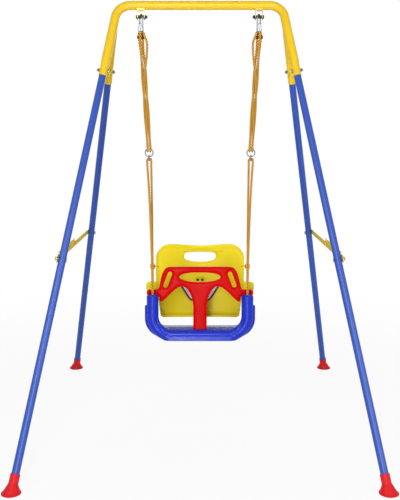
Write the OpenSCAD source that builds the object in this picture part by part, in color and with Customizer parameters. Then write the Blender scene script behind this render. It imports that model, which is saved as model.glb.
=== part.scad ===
// Indoor toddler swing: a folding A-frame of steel tube, with a bucket seat hung on two ropes.
// Millimetres, +Z up, the front faces -Y. Origin on the floor, at the middle of the four feet.

/* [Frame] */
// Height of the crossbar's axis above the floor
bar_z = 1336; // [1200:1:1450]
// Height at which the axes of a front and a rear leg meet
apex_z = 1293; // [1160:1:1400]
// Half the distance between the two corners of the arch
corner_x = 256; // [220:1:300]
// Half the distance between the left and right feet
foot_x = 500; // [420:1:560]
// Half the distance between the front and rear feet
foot_y = 560; // [460:1:640]
// Bend radius of the arch on its axis
bend_r = 48; // [40:1:60]
// Diameter of the arch tube
arch_d = 28; // [24:0.5:34]
// Wall of every tube
tube_wall = 1.4; // [1:0.1:2.5]
// Diameter of the leg tubes
leg_d = 22; // [18:0.5:26]
// Length of a front arm below the apex
front_arm_len = 198; // [160:1:240]
// Length of the narrow end of a front arm
sleeve_len = 30; // [20:1:60]
// Length of the taper above that end
sleeve_taper = 22; // [10:1:40]
// Wall of the narrow end
sleeve_wall = 1.3; // [1:0.1:2.5]
// Depth of a front leg in its arm
leg_insert = 62; // [40:1:90]
// Height of the arm's lock bolt above the end of the arm
lock_rise = 18; // [10:1:28]

/* [Fold] */
// Distance of the fold bolt below the apex
pivot_drop = 171; // [150:1:200]
// Diameter of a rear arm's tube
rear_arm_d = 24; // [20:0.5:28]
// Diameter of its fork end
fork_d = 27; // [24:0.5:32]
// Width of the fork across its flats
fork_flats = 24; // [20:0.5:28]
// Length of the fork above the bolt
fork_rise = 30; // [22:1:44]
// Thickness of the knuckle's tongue
tongue_t = 15; // [10:0.5:18]
// Radius of the tongue and cheeks about the bolt
tongue_r = 11; // [9:0.5:13]
// Diameter of the knuckle's cup
cup_d = 25.4; // [22:0.2:30]
// Distance of the cup's top below the bolt
cup_top = 13.5; // [12:0.5:20]
// Distance of the cup's end below the bolt
cup_end = 40; // [30:1:60]
// Thickness of the cup's closed top
cup_floor = 4; // [2:0.5:8]

/* [Brace] */
// Height of the side braces
brace_z = 586; // [450:1:700]
// Thickness of a brace link
link_t = 2; // [2:0.5:5]
// Width of a front link
front_link_w = 22; // [16:1:30]
// Width of a rear link
rear_link_w = 16; // [12:1:24]
// Depth of the front link's folded edges
link_flange = 6; // [3:0.5:10]
// Thickness of the folded edges
flange_t = 2; // [1:0.5:4]
// Distance of the folded edges behind the front bolt
flange_from = 46; // [20:1:60]
// Height of the brace bolts' low heads
brace_head_h = 2; // [1.5:0.5:4]
// Height of the brace bolts' thin nuts
brace_nut_h = 3.5; // [3:0.5:5]
// Length of thread past a thin nut
brace_thread = 1; // [0.5:0.5:3]
// Diameter of the centre rivet
rivet_d = 8; // [6:0.5:10]
// Diameter of the rivet's head
rivet_head_d = 14; // [10:0.5:18]
// Height of the rivet's head
rivet_head_h = 3; // [2:0.5:5]
// Length of the pull tab along the link
tab_len = 16; // [10:1:24]
// Height of the pull tab
tab_h = 9; // [5:1:16]

/* [Feet] */
// Diameter of a foot's flange
foot_d = 54; // [40:1:70]
// Thickness of the flange
foot_flange = 4; // [3:0.5:8]
// Diameter of the foot's collar
foot_collar_d = 26.6; // [25:0.2:34]
// Length of the collar along the leg
foot_collar_len = 52; // [36:1:80]
// Length of the flare along the leg
foot_flare = 24; // [12:1:34]
// Distance of the leg's end from the floor along the leg
foot_seat = 15; // [12:1:24]

/* [Bolts] */
// Diameter of the frame bolts
bolt_d = 6; // [5:0.5:8]
// Diameter of a bolt's head
bolt_head_d = 11; // [9:0.5:14]
// Height of a bolt's head
bolt_head_h = 4; // [3:0.5:6]
// Width of a nut over its corners
nut_d = 11.5; // [10:0.5:15]
// Height of a nut
nut_h = 5; // [4:0.5:8]
// Length of thread past a nut
thread_out = 3; // [1:0.5:6]

/* [Hangers] */
// Half the distance between the two hangers
hanger_x = 184; // [160:1:205]
// Distance of a hanger bolt below the crossbar's axis
hanger_drop = 35; // [30:1:45]
// Thickness of a bracket's ears
ear_t = 2.5; // [2:0.1:4]
// Width of a bracket's ears
ear_w = 20; // [16:1:28]
// Gap between a bracket's ears
ear_gap = 19; // [17:0.5:26]
// Height at which the ears clasp the crossbar, above its lowest line
ear_clasp = 6; // [3:0.5:10]
// Diameter of the bush on a hanger bolt
bush_d = 10; // [9:0.5:12]
// Wire of a snap hook
hook_wire = 4; // [3:0.2:5]
// Radius of the hook's top bend
hook_top_r = 9.5; // [9:0.5:12]
// Radius of the hook's bottom bend
hook_r = 12; // [11:0.5:15]
// Distance of the bottom wire below the hanger bolt
hook_drop = 54; // [42:1:60]
// Turn of the hook about the vertical
hook_turn = 60; // [50:1:70]
// Length of the hook's nose below its top bend
nose_len = 17; // [10:0.5:20]
// Angle of the gate's hinge on the bottom bend
gate_place = 8; // [0:1:20]
// Wire of a gate
gate_wire = 2; // [1.6:0.1:2.4]
// Width of a gate between its wire axes
gate_w = 7; // [6.6:0.1:9]

/* [Ropes] */
// Diameter of the rope
rope_d = 8; // [6:0.5:10]
// Half the distance between the two ring pairs
ring_x = 163; // [140:1:190]
// Height of the upper rings
ring_z = 880; // [700:1:950]
// Wire of the rings
ring_wire = 4; // [3:0.2:5]
// Radius of the upper rings
upper_ring_r = 12.5; // [12:0.5:16]
// Radius of the lower rings
lower_ring_r = 8.5; // [8.5:0.5:12]
// Turn of the four strands between hook and ring
hank_twist = 210; // [30:180:210]
// Outward bow of the slack strand
hank_slack = 10; // [0:1:30]
// Height of the wrapped collar under a hook
collar_h = 11; // [6:1:16]
// Width of the collar
collar_d = 10.6; // [9:0.2:12]
// Gap between the collar and the hook's wire
collar_gap = 0.6; // [0.4:0.1:2]

/* [Seat] */
// Height of the seat's reference point
seat_z = 292; // [220:1:380]
// Backward tilt of the seat
seat_tilt = 4; // [0:0.5:8]
// Diameter of the seat's front tube
roll_d = 38; // [30:1:46]
// Distance of the front tube ahead of the seat's middle
roll_y = 95; // [80:1:115]
// Height of the front tube's axis
roll_z = 5; // [0:1:20]
// Half the distance between the front posts
post_x = 151; // [140:1:165]
// Height of the front posts
post_top = 136; // [120:1:160]
// Corner radius of the front tube on its axis
roll_bend = 62; // [40:1:70]
// Half the outer width of the pan
pan_x = 176; // [168:1:190]
// Wall of the pan
pan_t = 5; // [3:0.5:8]
// Outer corner radius of the pan
pan_r = 62; // [40:1:80]
// Height of the pan's floor
pan_z = 2; // [0:1:15]
// Distance of the pan's rear edge behind the middle
pan_back = 108; // [100:1:130]
// Height of the pan's sides at the middle
pan_side = 84; // [60:1:100]
// Radius of the dip in the pan's sides
pan_dip_r = 260; // [200:5:400]
// Number of ribs across the pan
rib_count = 5; // [3:1:7]
// Spacing of the ribs
rib_pitch = 27; // [20:1:34]
// Width of a rib
rib_w = 6; // [3:0.5:10]
// Height of a rib
rib_h = 2; // [1:0.5:4]
// Half the distance between the rear posts
rear_x = 161.5; // [155:0.5:168]
// Distance of the rear posts behind the middle
rear_y = 92; // [85:1:100]
// Width of a rear post
rear_w = 22; // [16:1:30]
// Depth of a rear post
rear_d = 24; // [18:1:30]
// Height of the rear posts
rear_top = 126; // [110:1:140]
// Bore for the rope in the posts
rope_bore = 9.2; // [8.6:0.1:12]
// Depth of the rope in a post
rope_depth = 58; // [30:1:80]

/* [Safety bar] */
// Thickness of the safety bar
guard_t = 16; // [10:1:20]
// Distance of the bar's front face ahead of the seat's middle
guard_y = 92; // [85:1:100]
// Half the width of the bar over its ends
guard_half = 170; // [150:1:180]
// Height of the bar's top edge
guard_top = 224; // [200:1:240]
// Height of the bar's lower end
guard_low = 9; // [4:1:24]
// Height of the underside of the bar's ends
guard_end_z = 130; // [118:1:134]
// Depth of the rope notch in the bar's ends
notch_deep = 10; // [8:0.5:12]
// Width of that notch
notch_w = 20; // [16:1:26]
// Width of the oval window
window_w = 131; // [100:1:140]
// Height of the oval window
window_h = 31; // [20:1:36]
// Height of the window's middle
window_z = 190; // [180:1:205]
// Width of the two side slots
side_slot_w = 14; // [10:0.2:18]

/* [Backrest] */
// Height of the backrest
back_h = 250; // [200:1:280]
// Half the width of the backrest
back_half = 150; // [130:1:160]
// How much narrower its lower edge is, on each side
back_taper = 15; // [0:1:30]
// Radius of its top corners
back_corner = 50; // [25:1:60]
// Radius of its lower corners
back_low_r = 12; // [6:1:20]
// Dip of its upper edge at the middle
back_dip = 5; // [0:0.5:12]
// Half the width of that dip
back_dip_half = 98; // [60:1:100]
// Wall of the backrest
back_t = 6; // [4:0.5:9]
// Radius of its curve from side to side
back_bow = 520; // [400:10:900]
// Backward lean against the seat
back_lean = 4; // [0:0.5:12]
// Distance of its lower edge behind the middle
back_y = 92; // [85:1:105]
// Height of its lower edge
back_z = 33; // [25:1:45]
// Width of the handle slot
handle_w = 108; // [80:1:120]
// Height of the handle slot
handle_h = 33; // [25:1:40]
// Distance of the slot's middle below the upper edge
handle_drop = 44; // [35:1:60]
// Width of the lip above the handle slot
lip_w = 138; // [112:1:150]
// Depth of the lip above the handle slot
lip_deep = 5; // [3:0.5:8]
// Height of the lip
lip_h = 7; // [4:0.5:10]
// Reach of the ears from the middle
ear_reach = 184; // [175:1:195]
// Height of the ears
ear_h = 28; // [20:1:36]
// Depth of the ears
ear_deep = 26; // [18:1:32]
// Radius of the ears' upper outer corner
ear_round = 11; // [4:1:16]
// Distance of the rope eyes outside the backrest's edge
eye_out = 11; // [10:0.5:16]
// Distance of the rope eyes behind the seat's middle
eye_y = 85.5; // [76:0.5:92]
// Height of the rope eyes above the seat's reference point
eye_z = 208; // [195:1:225]
// Diameter of a rope eye
eye_d = 17; // [15:0.5:22]
// Height of a rope eye
eye_h = 13; // [9:0.5:18]
// Bore of a rope eye
eye_bore = 10; // [9:0.1:12]
// Diameter of the pin that holds a rope eye
eye_pin_d = 5; // [4:0.5:7]

/* [Harness] */
// Width of the webbing
web_w = 20; // [16:1:38]
// Thickness of the webbing
web_t = 1.8; // [1.2:0.1:3]
// Distance of the strap slots from the middle
strap_x = 64; // [56:1:90]
// Height of the strap slots above the backrest's lower edge
strap_z = 120; // [100:1:130]
// Height of the buckle above the backrest's lower edge
buckle_z = 64; // [40:1:70]
// Length of the buckle's body
buckle_len = 34; // [28:1:50]
// Height of the buckle
buckle_h = 26; // [22:1:42]
// Thickness of the buckle
buckle_t = 10; // [8:0.5:14]
// Distance of the buckle ahead of the backrest
buckle_gap = 7; // [4:0.5:14]
// Width of the anchor plate behind the backrest
anchor_w = 44; // [34:1:60]
// Height of the anchor plate
anchor_h = 30; // [26:1:40]
// Thickness of the anchor plate
anchor_t = 3; // [2:0.5:5]
// Distance of the anchor rivets from the middle
anchor_rivet_x = 8; // [6:0.5:14]
// Diameter of the anchor rivets
anchor_rivet_d = 5; // [4:0.5:6]
// Diameter of the rivet heads
anchor_head_d = 8; // [6:0.5:10]
// Height of the rivet heads
anchor_head_h = 2; // [1:0.5:3]

/* [Hidden] */
$fn = 64;
// sides of a hull's children
hull_fn = 32;
// overrun of a cut past the face that it opens
over = 1;
// reach of a cut that goes through everything
reach = 80;
// thickness of the slices that a foot's flare is drawn between
slice = 0.5;
// radial gap of a bolt in its hole and of a hinge on its pin
pin_gap = 0.06;
// radial gap of a tube in its socket
tube_gap = 0.1;
// gap between two pieces that pass each other
run_gap = 0.4;
// gap between two pieces that stand on each other on different bodies
rest_gap = 0.3;
// gap at a weld
weld_gap = 0.05;
// height of a bead where a bend runs into a straight
bead = 0.12;
// gap of a rope on a wire
rope_gap = 0.4;

// lean of the two sides, from the vertical
tilt = atan((foot_x - corner_x) / bar_z);
apex_x = foot_x - apex_z * tan(tilt);
swing_y = foot_y * (bar_z - apex_z) / apex_z;
// lean of the legs in the plane of their side
lean = atan(foot_y * cos(tilt) / apex_z);
leg_len = apex_z / cos(tilt) / cos(lean);
// rise of the arch's corner past the apex, on the leg's line
corner_rise = leg_len * (bar_z - apex_z) / apex_z;
// turn of the arch at its corners, and the direction of the crossbar about the arm
bend_turn = 90 - asin(sin(tilt) * cos(lean));
bend_aim = atan2(-sin(tilt) * sin(lean), -cos(tilt));
bend_len = bend_r * tan(bend_turn / 2);
arm_top = bend_len - corner_rise;
straight_x = corner_x - bend_len;
sleeve_top = front_arm_len - sleeve_len;
taper_top = sleeve_top - sleeve_taper;
sleeve_bore = leg_d + 2 * tube_gap;
sleeve_d = sleeve_bore + 2 * sleeve_wall;
leg_bore = leg_d - 2 * tube_wall;
bolt_hole = bolt_d + 2 * pin_gap;
lock_t = front_arm_len - lock_rise;
brace_t = leg_len * (apex_z - brace_z) / apex_z;
brace_y = brace_t * sin(lean);
brace_s = brace_t * cos(lean);
cheek_in = tongue_t / 2 + run_gap;
rear_layer = leg_d / 2 + run_gap;
front_layer = rear_layer + link_t + run_gap;
front_out = front_layer + link_t;
brace_tail = brace_nut_h + brace_thread;

// steps of a round, and a smooth step from 0 to 1
function ease(e) = let (c = min(1, max(0, e))) c * c * (3 - 2 * c);

// tube swept along points by rings that keep one side to a given way
function unit(v) = v / norm(v);
function way(p, i) = unit(p[min(i + 1, len(p) - 1)] - p[max(i - 1, 0)]);
function ring_side(t, aim) = unit(aim - (aim * t) * t);
function ring_points(p, r, n, aim) = [for (i = [0 : len(p) - 1])
    let (t = way(p, i), v = ring_side(t, aim), w = cross(t, v))
    for (j = [0 : n - 1]) p[i] + r * (cos(360 * j / n) * v + sin(360 * j / n) * w)];
function tube_faces(m, n) = concat(
    [for (i = [0 : m - 2]) for (j = [0 : n - 1])
        let (a = i * n + j, b = i * n + (j + 1) % n) for (f = [[a, a + n, b], [b, a + n, b + n]]) f],
    [for (j = [1 : n - 2]) [0, j, j + 1]],
    [for (j = [1 : n - 2]) let (e = (m - 1) * n) [e, e + j + 1, e + j]]);
module tube_along(p, d, n, aim) {
    polyhedron(points = ring_points(p, d / 2, n, aim), faces = tube_faces(len(p), n), convexity = 8);
}

// places of the right side: the side's own plane, with +X out of it and the apex as origin
module on_side(s) {
    mirror([s < 0 ? 1 : 0, 0, 0])
        translate([apex_x, 0, apex_z])
            rotate([0, -tilt, 0])
                children();
}
// line of a front or rear leg, downward from the apex along -Z
module on_front(s) {
    on_side(s)
        rotate([-lean, 0, 0])
            children();
}
module on_rear(s) {
    on_side(s)
        rotate([lean, 0, 0])
            children();
}
module mirrored(s) {
    mirror([s < 0 ? 1 : 0, 0, 0])
        children();
}
module rod(t0, t1, d) {
    translate([0, 0, -t1])
        cylinder(d = d, h = t1 - t0);
}
// hole or bolt across a leg, along +X
module across(t, d) {
    translate([0, 0, -t])
        rotate([0, 90, 0])
            cylinder(d = d, h = 2 * reach, center = true);
}
module shank(x0, x1, d) {
    translate([x0, 0, 0])
        rotate([0, 90, 0])
            cylinder(d = d, h = x1 - x0);
}
module hex_nut(x0, high = nut_h) {
    difference() {
        translate([x0, 0, 0])
            rotate([0, 90, 0])
                cylinder(d = nut_d, h = high, $fn = 6);
        shank(x0 - over, x0 + high + over, bolt_hole);
    }
}
// bolt from its head's seat inward: head on the +X side, nut on the -X side
module bolt_in(x_head, x_nut, head_h = bolt_head_h, tail = nut_h + thread_out) {
    shank(x_head, x_head + head_h, bolt_head_d);
    shank(x_nut - tail, x_head, bolt_d);
}

// arch: crossbar, bends and arms, as the outside or the bore, with a bead at each end of a bend
module arch_run(d, d_end, end) {
    translate([-straight_x, swing_y, bar_z])
        rotate([0, 90, 0])
            cylinder(d = d, h = 2 * straight_x);
    for (s = [-1, 1]) {
        translate([s * straight_x, swing_y, bar_z])
            rotate([0, 90, 0])
                sphere(d = d + 2 * bead);
        on_front(s) {
            translate([0, 0, -arm_top]) {
                sphere(d = d + 2 * bead);
                rotate([0, 0, bend_aim])
                    translate([bend_r, 0, 0])
                        rotate([90, 0, 180])
                            rotate_extrude(angle = bend_turn)
                                translate([bend_r, 0, 0])
                                    circle(d = d);
            }
            rotate_extrude()
                polygon([[0, -arm_top], [d / 2, -arm_top], [d / 2, -taper_top], [d_end / 2, -sleeve_top],
                    [d_end / 2, -front_arm_len - end], [0, -front_arm_len - end]]);
        }
    }
}
module arch_outside(grow) {
    arch_run(arch_d + 2 * grow, sleeve_d + 2 * grow, 0);
}
module top_arch() {
    color("gold")
        difference() {
            arch_outside(0);
            arch_run(arch_d - 2 * tube_wall, sleeve_bore, over);
            for (s = [-1, 1])
                on_front(s)
                    across(lock_t, bolt_hole);
        }
}

// rear arm: tube welded to the arch, with a solid fork end
module fork_form() {
    intersection() {
        rod(pivot_drop - fork_rise, pivot_drop + tongue_r, fork_d);
        translate([0, 0, -pivot_drop])
            union() {
                translate([0, 0, fork_rise / 2])
                    cube([fork_flats, fork_d + over, fork_rise], center = true);
                rotate([0, 90, 0])
                    cylinder(r = tongue_r, h = fork_flats, center = true);
            }
    }
}
module rear_arm(s) {
    color("gold")
        difference() {
            on_rear(s)
                difference() {
                    union() {
                        rod(0, pivot_drop - fork_rise + over, rear_arm_d);
                        fork_form();
                    }
                    rod(-over, pivot_drop - fork_rise, rear_arm_d - 2 * tube_wall);
                    translate([0, 0, -pivot_drop - reach / 2 + tongue_r + 2 * run_gap])
                        cube([2 * cheek_in, fork_d + over, reach], center = true);
                    across(pivot_drop, bolt_hole);
                }
            arch_outside(weld_gap);
        }
}
module rear_knuckle(s) {
    color("gold")
        on_rear(s)
            difference() {
                union() {
                    intersection() {
                        rod(pivot_drop - tongue_r, pivot_drop + cup_top, cup_d);
                        translate([0, 0, -pivot_drop])
                            union() {
                                rotate([0, 90, 0])
                                    cylinder(r = tongue_r, h = tongue_t, center = true);
                                translate([0, 0, -cup_top / 2])
                                    cube([tongue_t, 2 * tongue_r, cup_top], center = true);
                            }
                    }
                    rod(pivot_drop + cup_top, pivot_drop + cup_end, cup_d);
                }
                rod(pivot_drop + cup_top + cup_floor, pivot_drop + cup_end + over, sleeve_bore);
                across(pivot_drop, bolt_hole);
            }
}

module front_leg(s) {
    color("royalblue")
        on_front(s)
            difference() {
                rod(front_arm_len - leg_insert, leg_len - foot_seat, leg_d);
                rod(front_arm_len - leg_insert - over, leg_len - foot_seat + over, leg_bore);
                across(lock_t, bolt_hole);
                across(brace_t, bolt_hole);
            }
}
module rear_leg(s) {
    color("royalblue")
        on_rear(s)
            difference() {
                rod(pivot_drop + cup_top + cup_floor, leg_len - foot_seat, leg_d);
                rod(pivot_drop + cup_top + cup_floor - over, leg_len - foot_seat + over, leg_bore);
                across(brace_t, bolt_hole);
            }
}

// foot: flat flange on the floor, flared up into a collar on the leg
module foot(s, f) {
    color("red")
        difference() {
            union() {
                mirrored(s)
                    translate([foot_x, f * foot_y, 0])
                        cylinder(d = foot_d, h = foot_flange);
                hull() {
                    mirrored(s)
                        translate([foot_x, f * foot_y, foot_flange / 2])
                            cylinder(d = foot_d - foot_flange, h = slice, $fn = hull_fn);
                    on_side(s)
                        rotate([f * lean, 0, 0])
                            translate([0, 0, foot_flare - leg_len])
                                cylinder(d = foot_collar_d + 2 * run_gap, h = slice, $fn = hull_fn);
                }
                on_side(s)
                    rotate([f * lean, 0, 0])
                        rod(leg_len - foot_collar_len, leg_len - foot_flare, foot_collar_d);
            }
            on_side(s)
                rotate([f * lean, 0, 0])
                    rod(leg_len - foot_collar_len - over, leg_len - foot_seat, sleeve_bore);
        }
}

// bolts and nuts of the frame, heads inside and nuts outside on the arms, the other way on the fold
module front_lock_bolts() {
    color("silver")
        for (s = [-1, 1])
            on_front(s)
                translate([0, 0, -lock_t])
                    rotate([0, 0, 180])
                        bolt_in(sleeve_d / 2, -sleeve_d / 2);
}
module front_lock_nuts() {
    color("goldenrod")
        for (s = [-1, 1])
            on_front(s)
                translate([0, 0, -lock_t])
                    hex_nut(sleeve_d / 2);
}
module fold_bolts() {
    color("silver")
        for (s = [-1, 1])
            on_rear(s)
                translate([0, 0, -pivot_drop])
                    bolt_in(fork_flats / 2, -fork_flats / 2);
}
module fold_nuts() {
    color("goldenrod")
        for (s = [-1, 1])
            on_rear(s)
                translate([0, 0, -pivot_drop])
                    hex_nut(-fork_flats / 2 - nut_h);
}

// side braces: two equal links, one over the other, joined by a rivet in the middle
module link_bar(y0, y1, w, x0) {
    translate([x0, y0, -w / 2])
        cube([link_t, y1 - y0, w]);
    for (y = [y0, y1])
        translate([0, y, 0])
            shank(x0, x0 + link_t, w);
}
module at_brace(s) {
    on_side(s)
        translate([0, 0, -brace_s])
            children();
}
module brace_front_link(s) {
    color("gold")
        at_brace(s)
            difference() {
                union() {
                    link_bar(-brace_y, 0, front_link_w, front_layer);
                    for (z = [-front_link_w / 2, front_link_w / 2 - flange_t])
                        translate([front_layer, flange_from - brace_y, z])
                            cube([link_t + link_flange, brace_y - flange_from, flange_t]);
                    translate([front_layer, -rivet_head_d - tab_len, front_link_w / 2])
                        cube([link_t, tab_len, tab_h]);
                }
                translate([0, -brace_y, 0])
                    shank(0, reach, bolt_hole);
                shank(0, reach, rivet_d + 2 * tube_gap);
            }
}
module brace_rear_link(s) {
    color("gold")
        at_brace(s)
            difference() {
                link_bar(0, brace_y, rear_link_w, rear_layer);
                translate([0, brace_y, 0])
                    shank(0, reach, bolt_hole);
                shank(0, reach, rivet_d + 2 * tube_gap);
            }
}
module brace_rivet(s) {
    color("silver")
        at_brace(s) {
            shank(front_layer, front_out, rivet_d);
            shank(front_out, front_out + rivet_head_h, rivet_head_d);
        }
}
module brace_rivet_seat(s) {
    color("silver")
        at_brace(s)
            shank(rear_layer, rear_layer + link_t, rivet_d);
}
module brace_front_bolts() {
    color("silver")
        for (s = [-1, 1])
            at_brace(s)
                translate([0, -brace_y, 0])
                    rotate([0, 0, 180])
                        bolt_in(leg_d / 2, -front_out - run_gap, brace_head_h, brace_tail);
}
module brace_front_nuts() {
    color("goldenrod")
        for (s = [-1, 1])
            at_brace(s)
                translate([0, -brace_y, 0])
                    hex_nut(front_out + run_gap, brace_nut_h);
}
module brace_spacers() {
    color("silver")
        for (s = [-1, 1])
            at_brace(s)
                translate([0, -brace_y, 0])
                    difference() {
                        shank(leg_d / 2, front_layer - run_gap, bolt_head_d);
                        shank(0, reach, bolt_hole);
                    }
}
module brace_rear_bolt(s) {
    color("silver")
        at_brace(s)
            translate([0, brace_y, 0])
                bolt_in(rear_layer + link_t + run_gap, -leg_d / 2, brace_head_h, brace_tail);
}
module brace_rear_nut(s) {
    color("goldenrod")
        at_brace(s)
            translate([0, brace_y, 0])
                hex_nut(-leg_d / 2 - brace_nut_h, brace_nut_h);
}

// hangers: bracket clasped under the crossbar, bolt with a bush, snap hook on the bush
bolt_z = bar_z - hanger_drop;
ear_out = ear_gap / 2 + ear_t;
hook_w = hook_wire / 2;
hook_low = bolt_z - hook_drop;
hook_mid = hook_low + hook_r;
hook_top = bolt_z + bush_d / 2 + rest_gap + hook_w - hook_top_r;
hook_flare = asin((hook_r - hook_top_r) / (hook_top - hook_mid));
gate_x = hook_r * cos(gate_place);
gate_z = hook_mid - hook_r * sin(gate_place);
nose_x = hook_top_r * cos(hook_flare) + nose_len * sin(hook_flare);
nose_z = hook_top + hook_top_r * sin(hook_flare) - nose_len * cos(hook_flare);
// the closed gate's tip lies inside the nose, level with its rounded end
gate_tip_x = nose_x - hook_w - gate_wire / 2 - run_gap;
gate_tip_z = nose_z + hook_w;
gate_lean = atan((gate_x - gate_tip_x) / (gate_tip_z - gate_z));
gate_len = norm([gate_x - gate_tip_x, gate_tip_z - gate_z]);
module at_hanger(s) {
    mirrored(s)
        translate([hanger_x, swing_y, 0])
            children();
}
module at_hook(s) {
    at_hanger(s)
        rotate([0, 0, hook_turn])
            children();
}
module hanger_brackets() {
    color("silver")
        for (s = [-1, 1])
            at_hanger(s)
                difference() {
                    union() {
                        for (x = [-ear_out, ear_gap / 2])
                            translate([x, 0, bolt_z]) {
                                shank(0, ear_t, ear_w);
                                translate([0, -ear_w / 2, 0])
                                    cube([ear_t, ear_w, hanger_drop - arch_d / 2 + ear_clasp]);
                            }
                        translate([-ear_out, -ear_w / 2, bar_z - arch_d / 2 - ear_t])
                            cube([2 * ear_out, ear_w, ear_t + ear_clasp]);
                    }
                    translate([0, 0, bar_z])
                        shank(-reach, reach, arch_d + 2 * weld_gap);
                    translate([0, 0, bolt_z])
                        shank(-reach, reach, bolt_hole);
                }
}
module hanger_bolts() {
    color("silver")
        for (s = [-1, 1])
            at_hanger(s)
                translate([0, 0, bolt_z])
                    bolt_in(ear_out, -ear_out);
}
module hanger_nuts() {
    color("goldenrod")
        for (s = [-1, 1])
            at_hanger(s)
                translate([0, 0, bolt_z])
                    hex_nut(-ear_out - nut_h);
}
module hanger_bushes() {
    color("dimgray")
        for (s = [-1, 1])
            at_hanger(s)
                translate([0, 0, bolt_z])
                    difference() {
                        shank(-ear_gap / 2 + tube_gap, ear_gap / 2 - tube_gap, bush_d);
                        shank(-reach, reach, bolt_hole);
                    }
}
// arc of wire in the hook's plane, from an angle over a turn
module wire_arc(r, d, from, turn) {
    rotate([90, -from, 180])
        mirror([1, 0, 0])
            rotate_extrude(angle = turn)
                translate([r, 0, 0])
                    circle(d = d);
}
module wire_line(a, b, d) {
    v = b - a;
    translate(a)
        rotate([0, atan2(norm([v[0], v[1]]), v[2]), atan2(v[1], v[0])])
            cylinder(d = d, h = norm(v));
}
function on_hook(r, z, a) = [r * cos(a), 0, z + r * sin(a)];
module snap_hook(s) {
    color("lightgray")
        at_hook(s)
            difference() {
                union() {
                    translate([0, 0, hook_mid])
                        wire_arc(hook_r, hook_wire, 180 - hook_flare, 180 + hook_flare - gate_place);
                    translate([0, 0, hook_top])
                        wire_arc(hook_top_r, hook_wire, hook_flare, 180 - 2 * hook_flare);
                    wire_line(on_hook(hook_r, hook_mid, 180 - hook_flare),
                        on_hook(hook_top_r, hook_top, 180 - hook_flare), hook_wire);
                    wire_line(on_hook(hook_top_r, hook_top, hook_flare), [nose_x, 0, nose_z], hook_wire);
                    translate([nose_x, 0, nose_z])
                        sphere(d = hook_wire + 2 * bead);
                    for (a = [hook_flare, 180 - hook_flare])
                        translate(on_hook(hook_top_r, hook_top, a))
                            sphere(d = hook_wire + 2 * bead);
                    translate(on_hook(hook_r, hook_mid, 180 - hook_flare))
                        sphere(d = hook_wire + 2 * bead);
                    translate([gate_x, 0, gate_z])
                        sphere(d = hook_wire + 2 * run_gap);
                }
                translate([gate_x, 0, gate_z])
                    rotate([90, 0, 0])
                        cylinder(d = gate_wire + 2 * pin_gap, h = reach, center = true);
            }
}
module snap_gate(s) {
    half = gate_w / 2;
    rise = gate_len - half;
    color("lightgray")
        at_hook(s)
            translate([gate_x, 0, gate_z])
                rotate([0, -gate_lean, 0]) {
                    rotate([90, 0, 0])
                        cylinder(d = gate_wire, h = gate_w, center = true);
                    for (y = [-half, half])
                        translate([0, y, 0]) {
                            sphere(d = gate_wire + 2 * bead);
                            cylinder(d = gate_wire, h = rise);
                            translate([0, 0, rise])
                                sphere(d = gate_wire + 2 * bead);
                        }
                    translate([0, 0, rise])
                        rotate([90, 0, 90])
                            rotate_extrude(angle = 180)
                                translate([half, 0, 0])
                                    circle(d = gate_wire);
                }
}

// upper rope: one rope laid in four strands between hook and ring, twisted as one, both ends in the collar
eye_x = back_half + eye_out;
rope_r = rope_d / 2;
bight_gap = 0.95;
hook_bight = hook_w + rope_r + bight_gap;
ring_bight = ring_wire / 2 + rope_r + bight_gap;
strand_gap = rope_r + rope_gap;
strand_steps = 20;
bight_steps = 6;
// shares of the rope's height in which the strands spread at their ends
spread_share = 0.16;
// shares of the height where the slack strand leaves, starts back and is back
slack_shares = [0.08, 0.14, 0.46];
// shares of the height at which the rope starts and ends inside the collar
start_share = 0.031;
end_share = 0.017;
hook_wire_z = hook_mid - sqrt(hook_r * hook_r - strand_gap * strand_gap);
ring_wire_z = ring_z + sqrt(upper_ring_r * upper_ring_r - strand_gap * strand_gap);
// signs of the four strands along and across the hook's wire
strand_signs = [[1, 1], [-1, 1], [-1, -1], [1, -1]];
function near_top(u) = 1 - ease(u / spread_share);
function near_low(u) = 1 - ease((1 - u) / spread_share);
function half_along(u) = strand_gap + (ring_bight - strand_gap) * near_low(u);
function half_across(u) = strand_gap + (hook_bight - strand_gap) * near_top(u);
function slack(k, u) = k != 1 ? 0
    : hank_slack * ease(u / slack_shares[0])
        * ease((slack_shares[2] - u) / (slack_shares[2] - slack_shares[1]));
function strand(k, u) = let (
    a = hook_turn + hank_twist * ease(u),
    q = [strand_signs[k][0] * half_along(u), strand_signs[k][1] * half_across(u)],
    p = q + slack(k, u) * unit(q))
    [hanger_x + (ring_x - hanger_x) * u + p[0] * cos(a) - p[1] * sin(a),
        swing_y + p[0] * sin(a) + p[1] * cos(a),
        hook_wire_z + (ring_wire_z - hook_wire_z) * u];
function strand_run(k, u0, u1) = [for (i = [0 : strand_steps]) strand(k, u0 + (u1 - u0) * i / strand_steps)];
// half circle from one strand's end to the next, rising or falling
function bight(p, q, rise) = [for (i = [1 : bight_steps - 1])
    let (a = 180 * i / bight_steps) (p + q) / 2 + cos(a) * (p - q) / 2 + [0, 0, rise * sin(a)]];
upper_route = concat(
    strand_run(0, start_share, 1), bight(strand(0, 1), strand(1, 1), -ring_bight),
    strand_run(1, 1, 0), bight(strand(1, 0), strand(2, 0), hook_bight),
    strand_run(2, 0, 1), bight(strand(2, 1), strand(3, 1), -ring_bight),
    strand_run(3, 1, 0), bight(strand(3, 0), strand(0, 0), hook_bight),
    [strand(0, 0), strand(0, end_share)]);
function away(i, j) = norm(upper_route[i] - upper_route[j]);
least_gap = min([for (i = [0 : len(upper_route) - 1]) for (j = [i + bight_steps : 1 : len(upper_route) - 1])
    (i < bight_steps && j > len(upper_route) - bight_steps) ? reach : away(i, j) - rope_d]);
echo("rings of the upper rope", len(upper_route), "least gap to itself in mm", least_gap);
upper_sides = 8;
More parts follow.
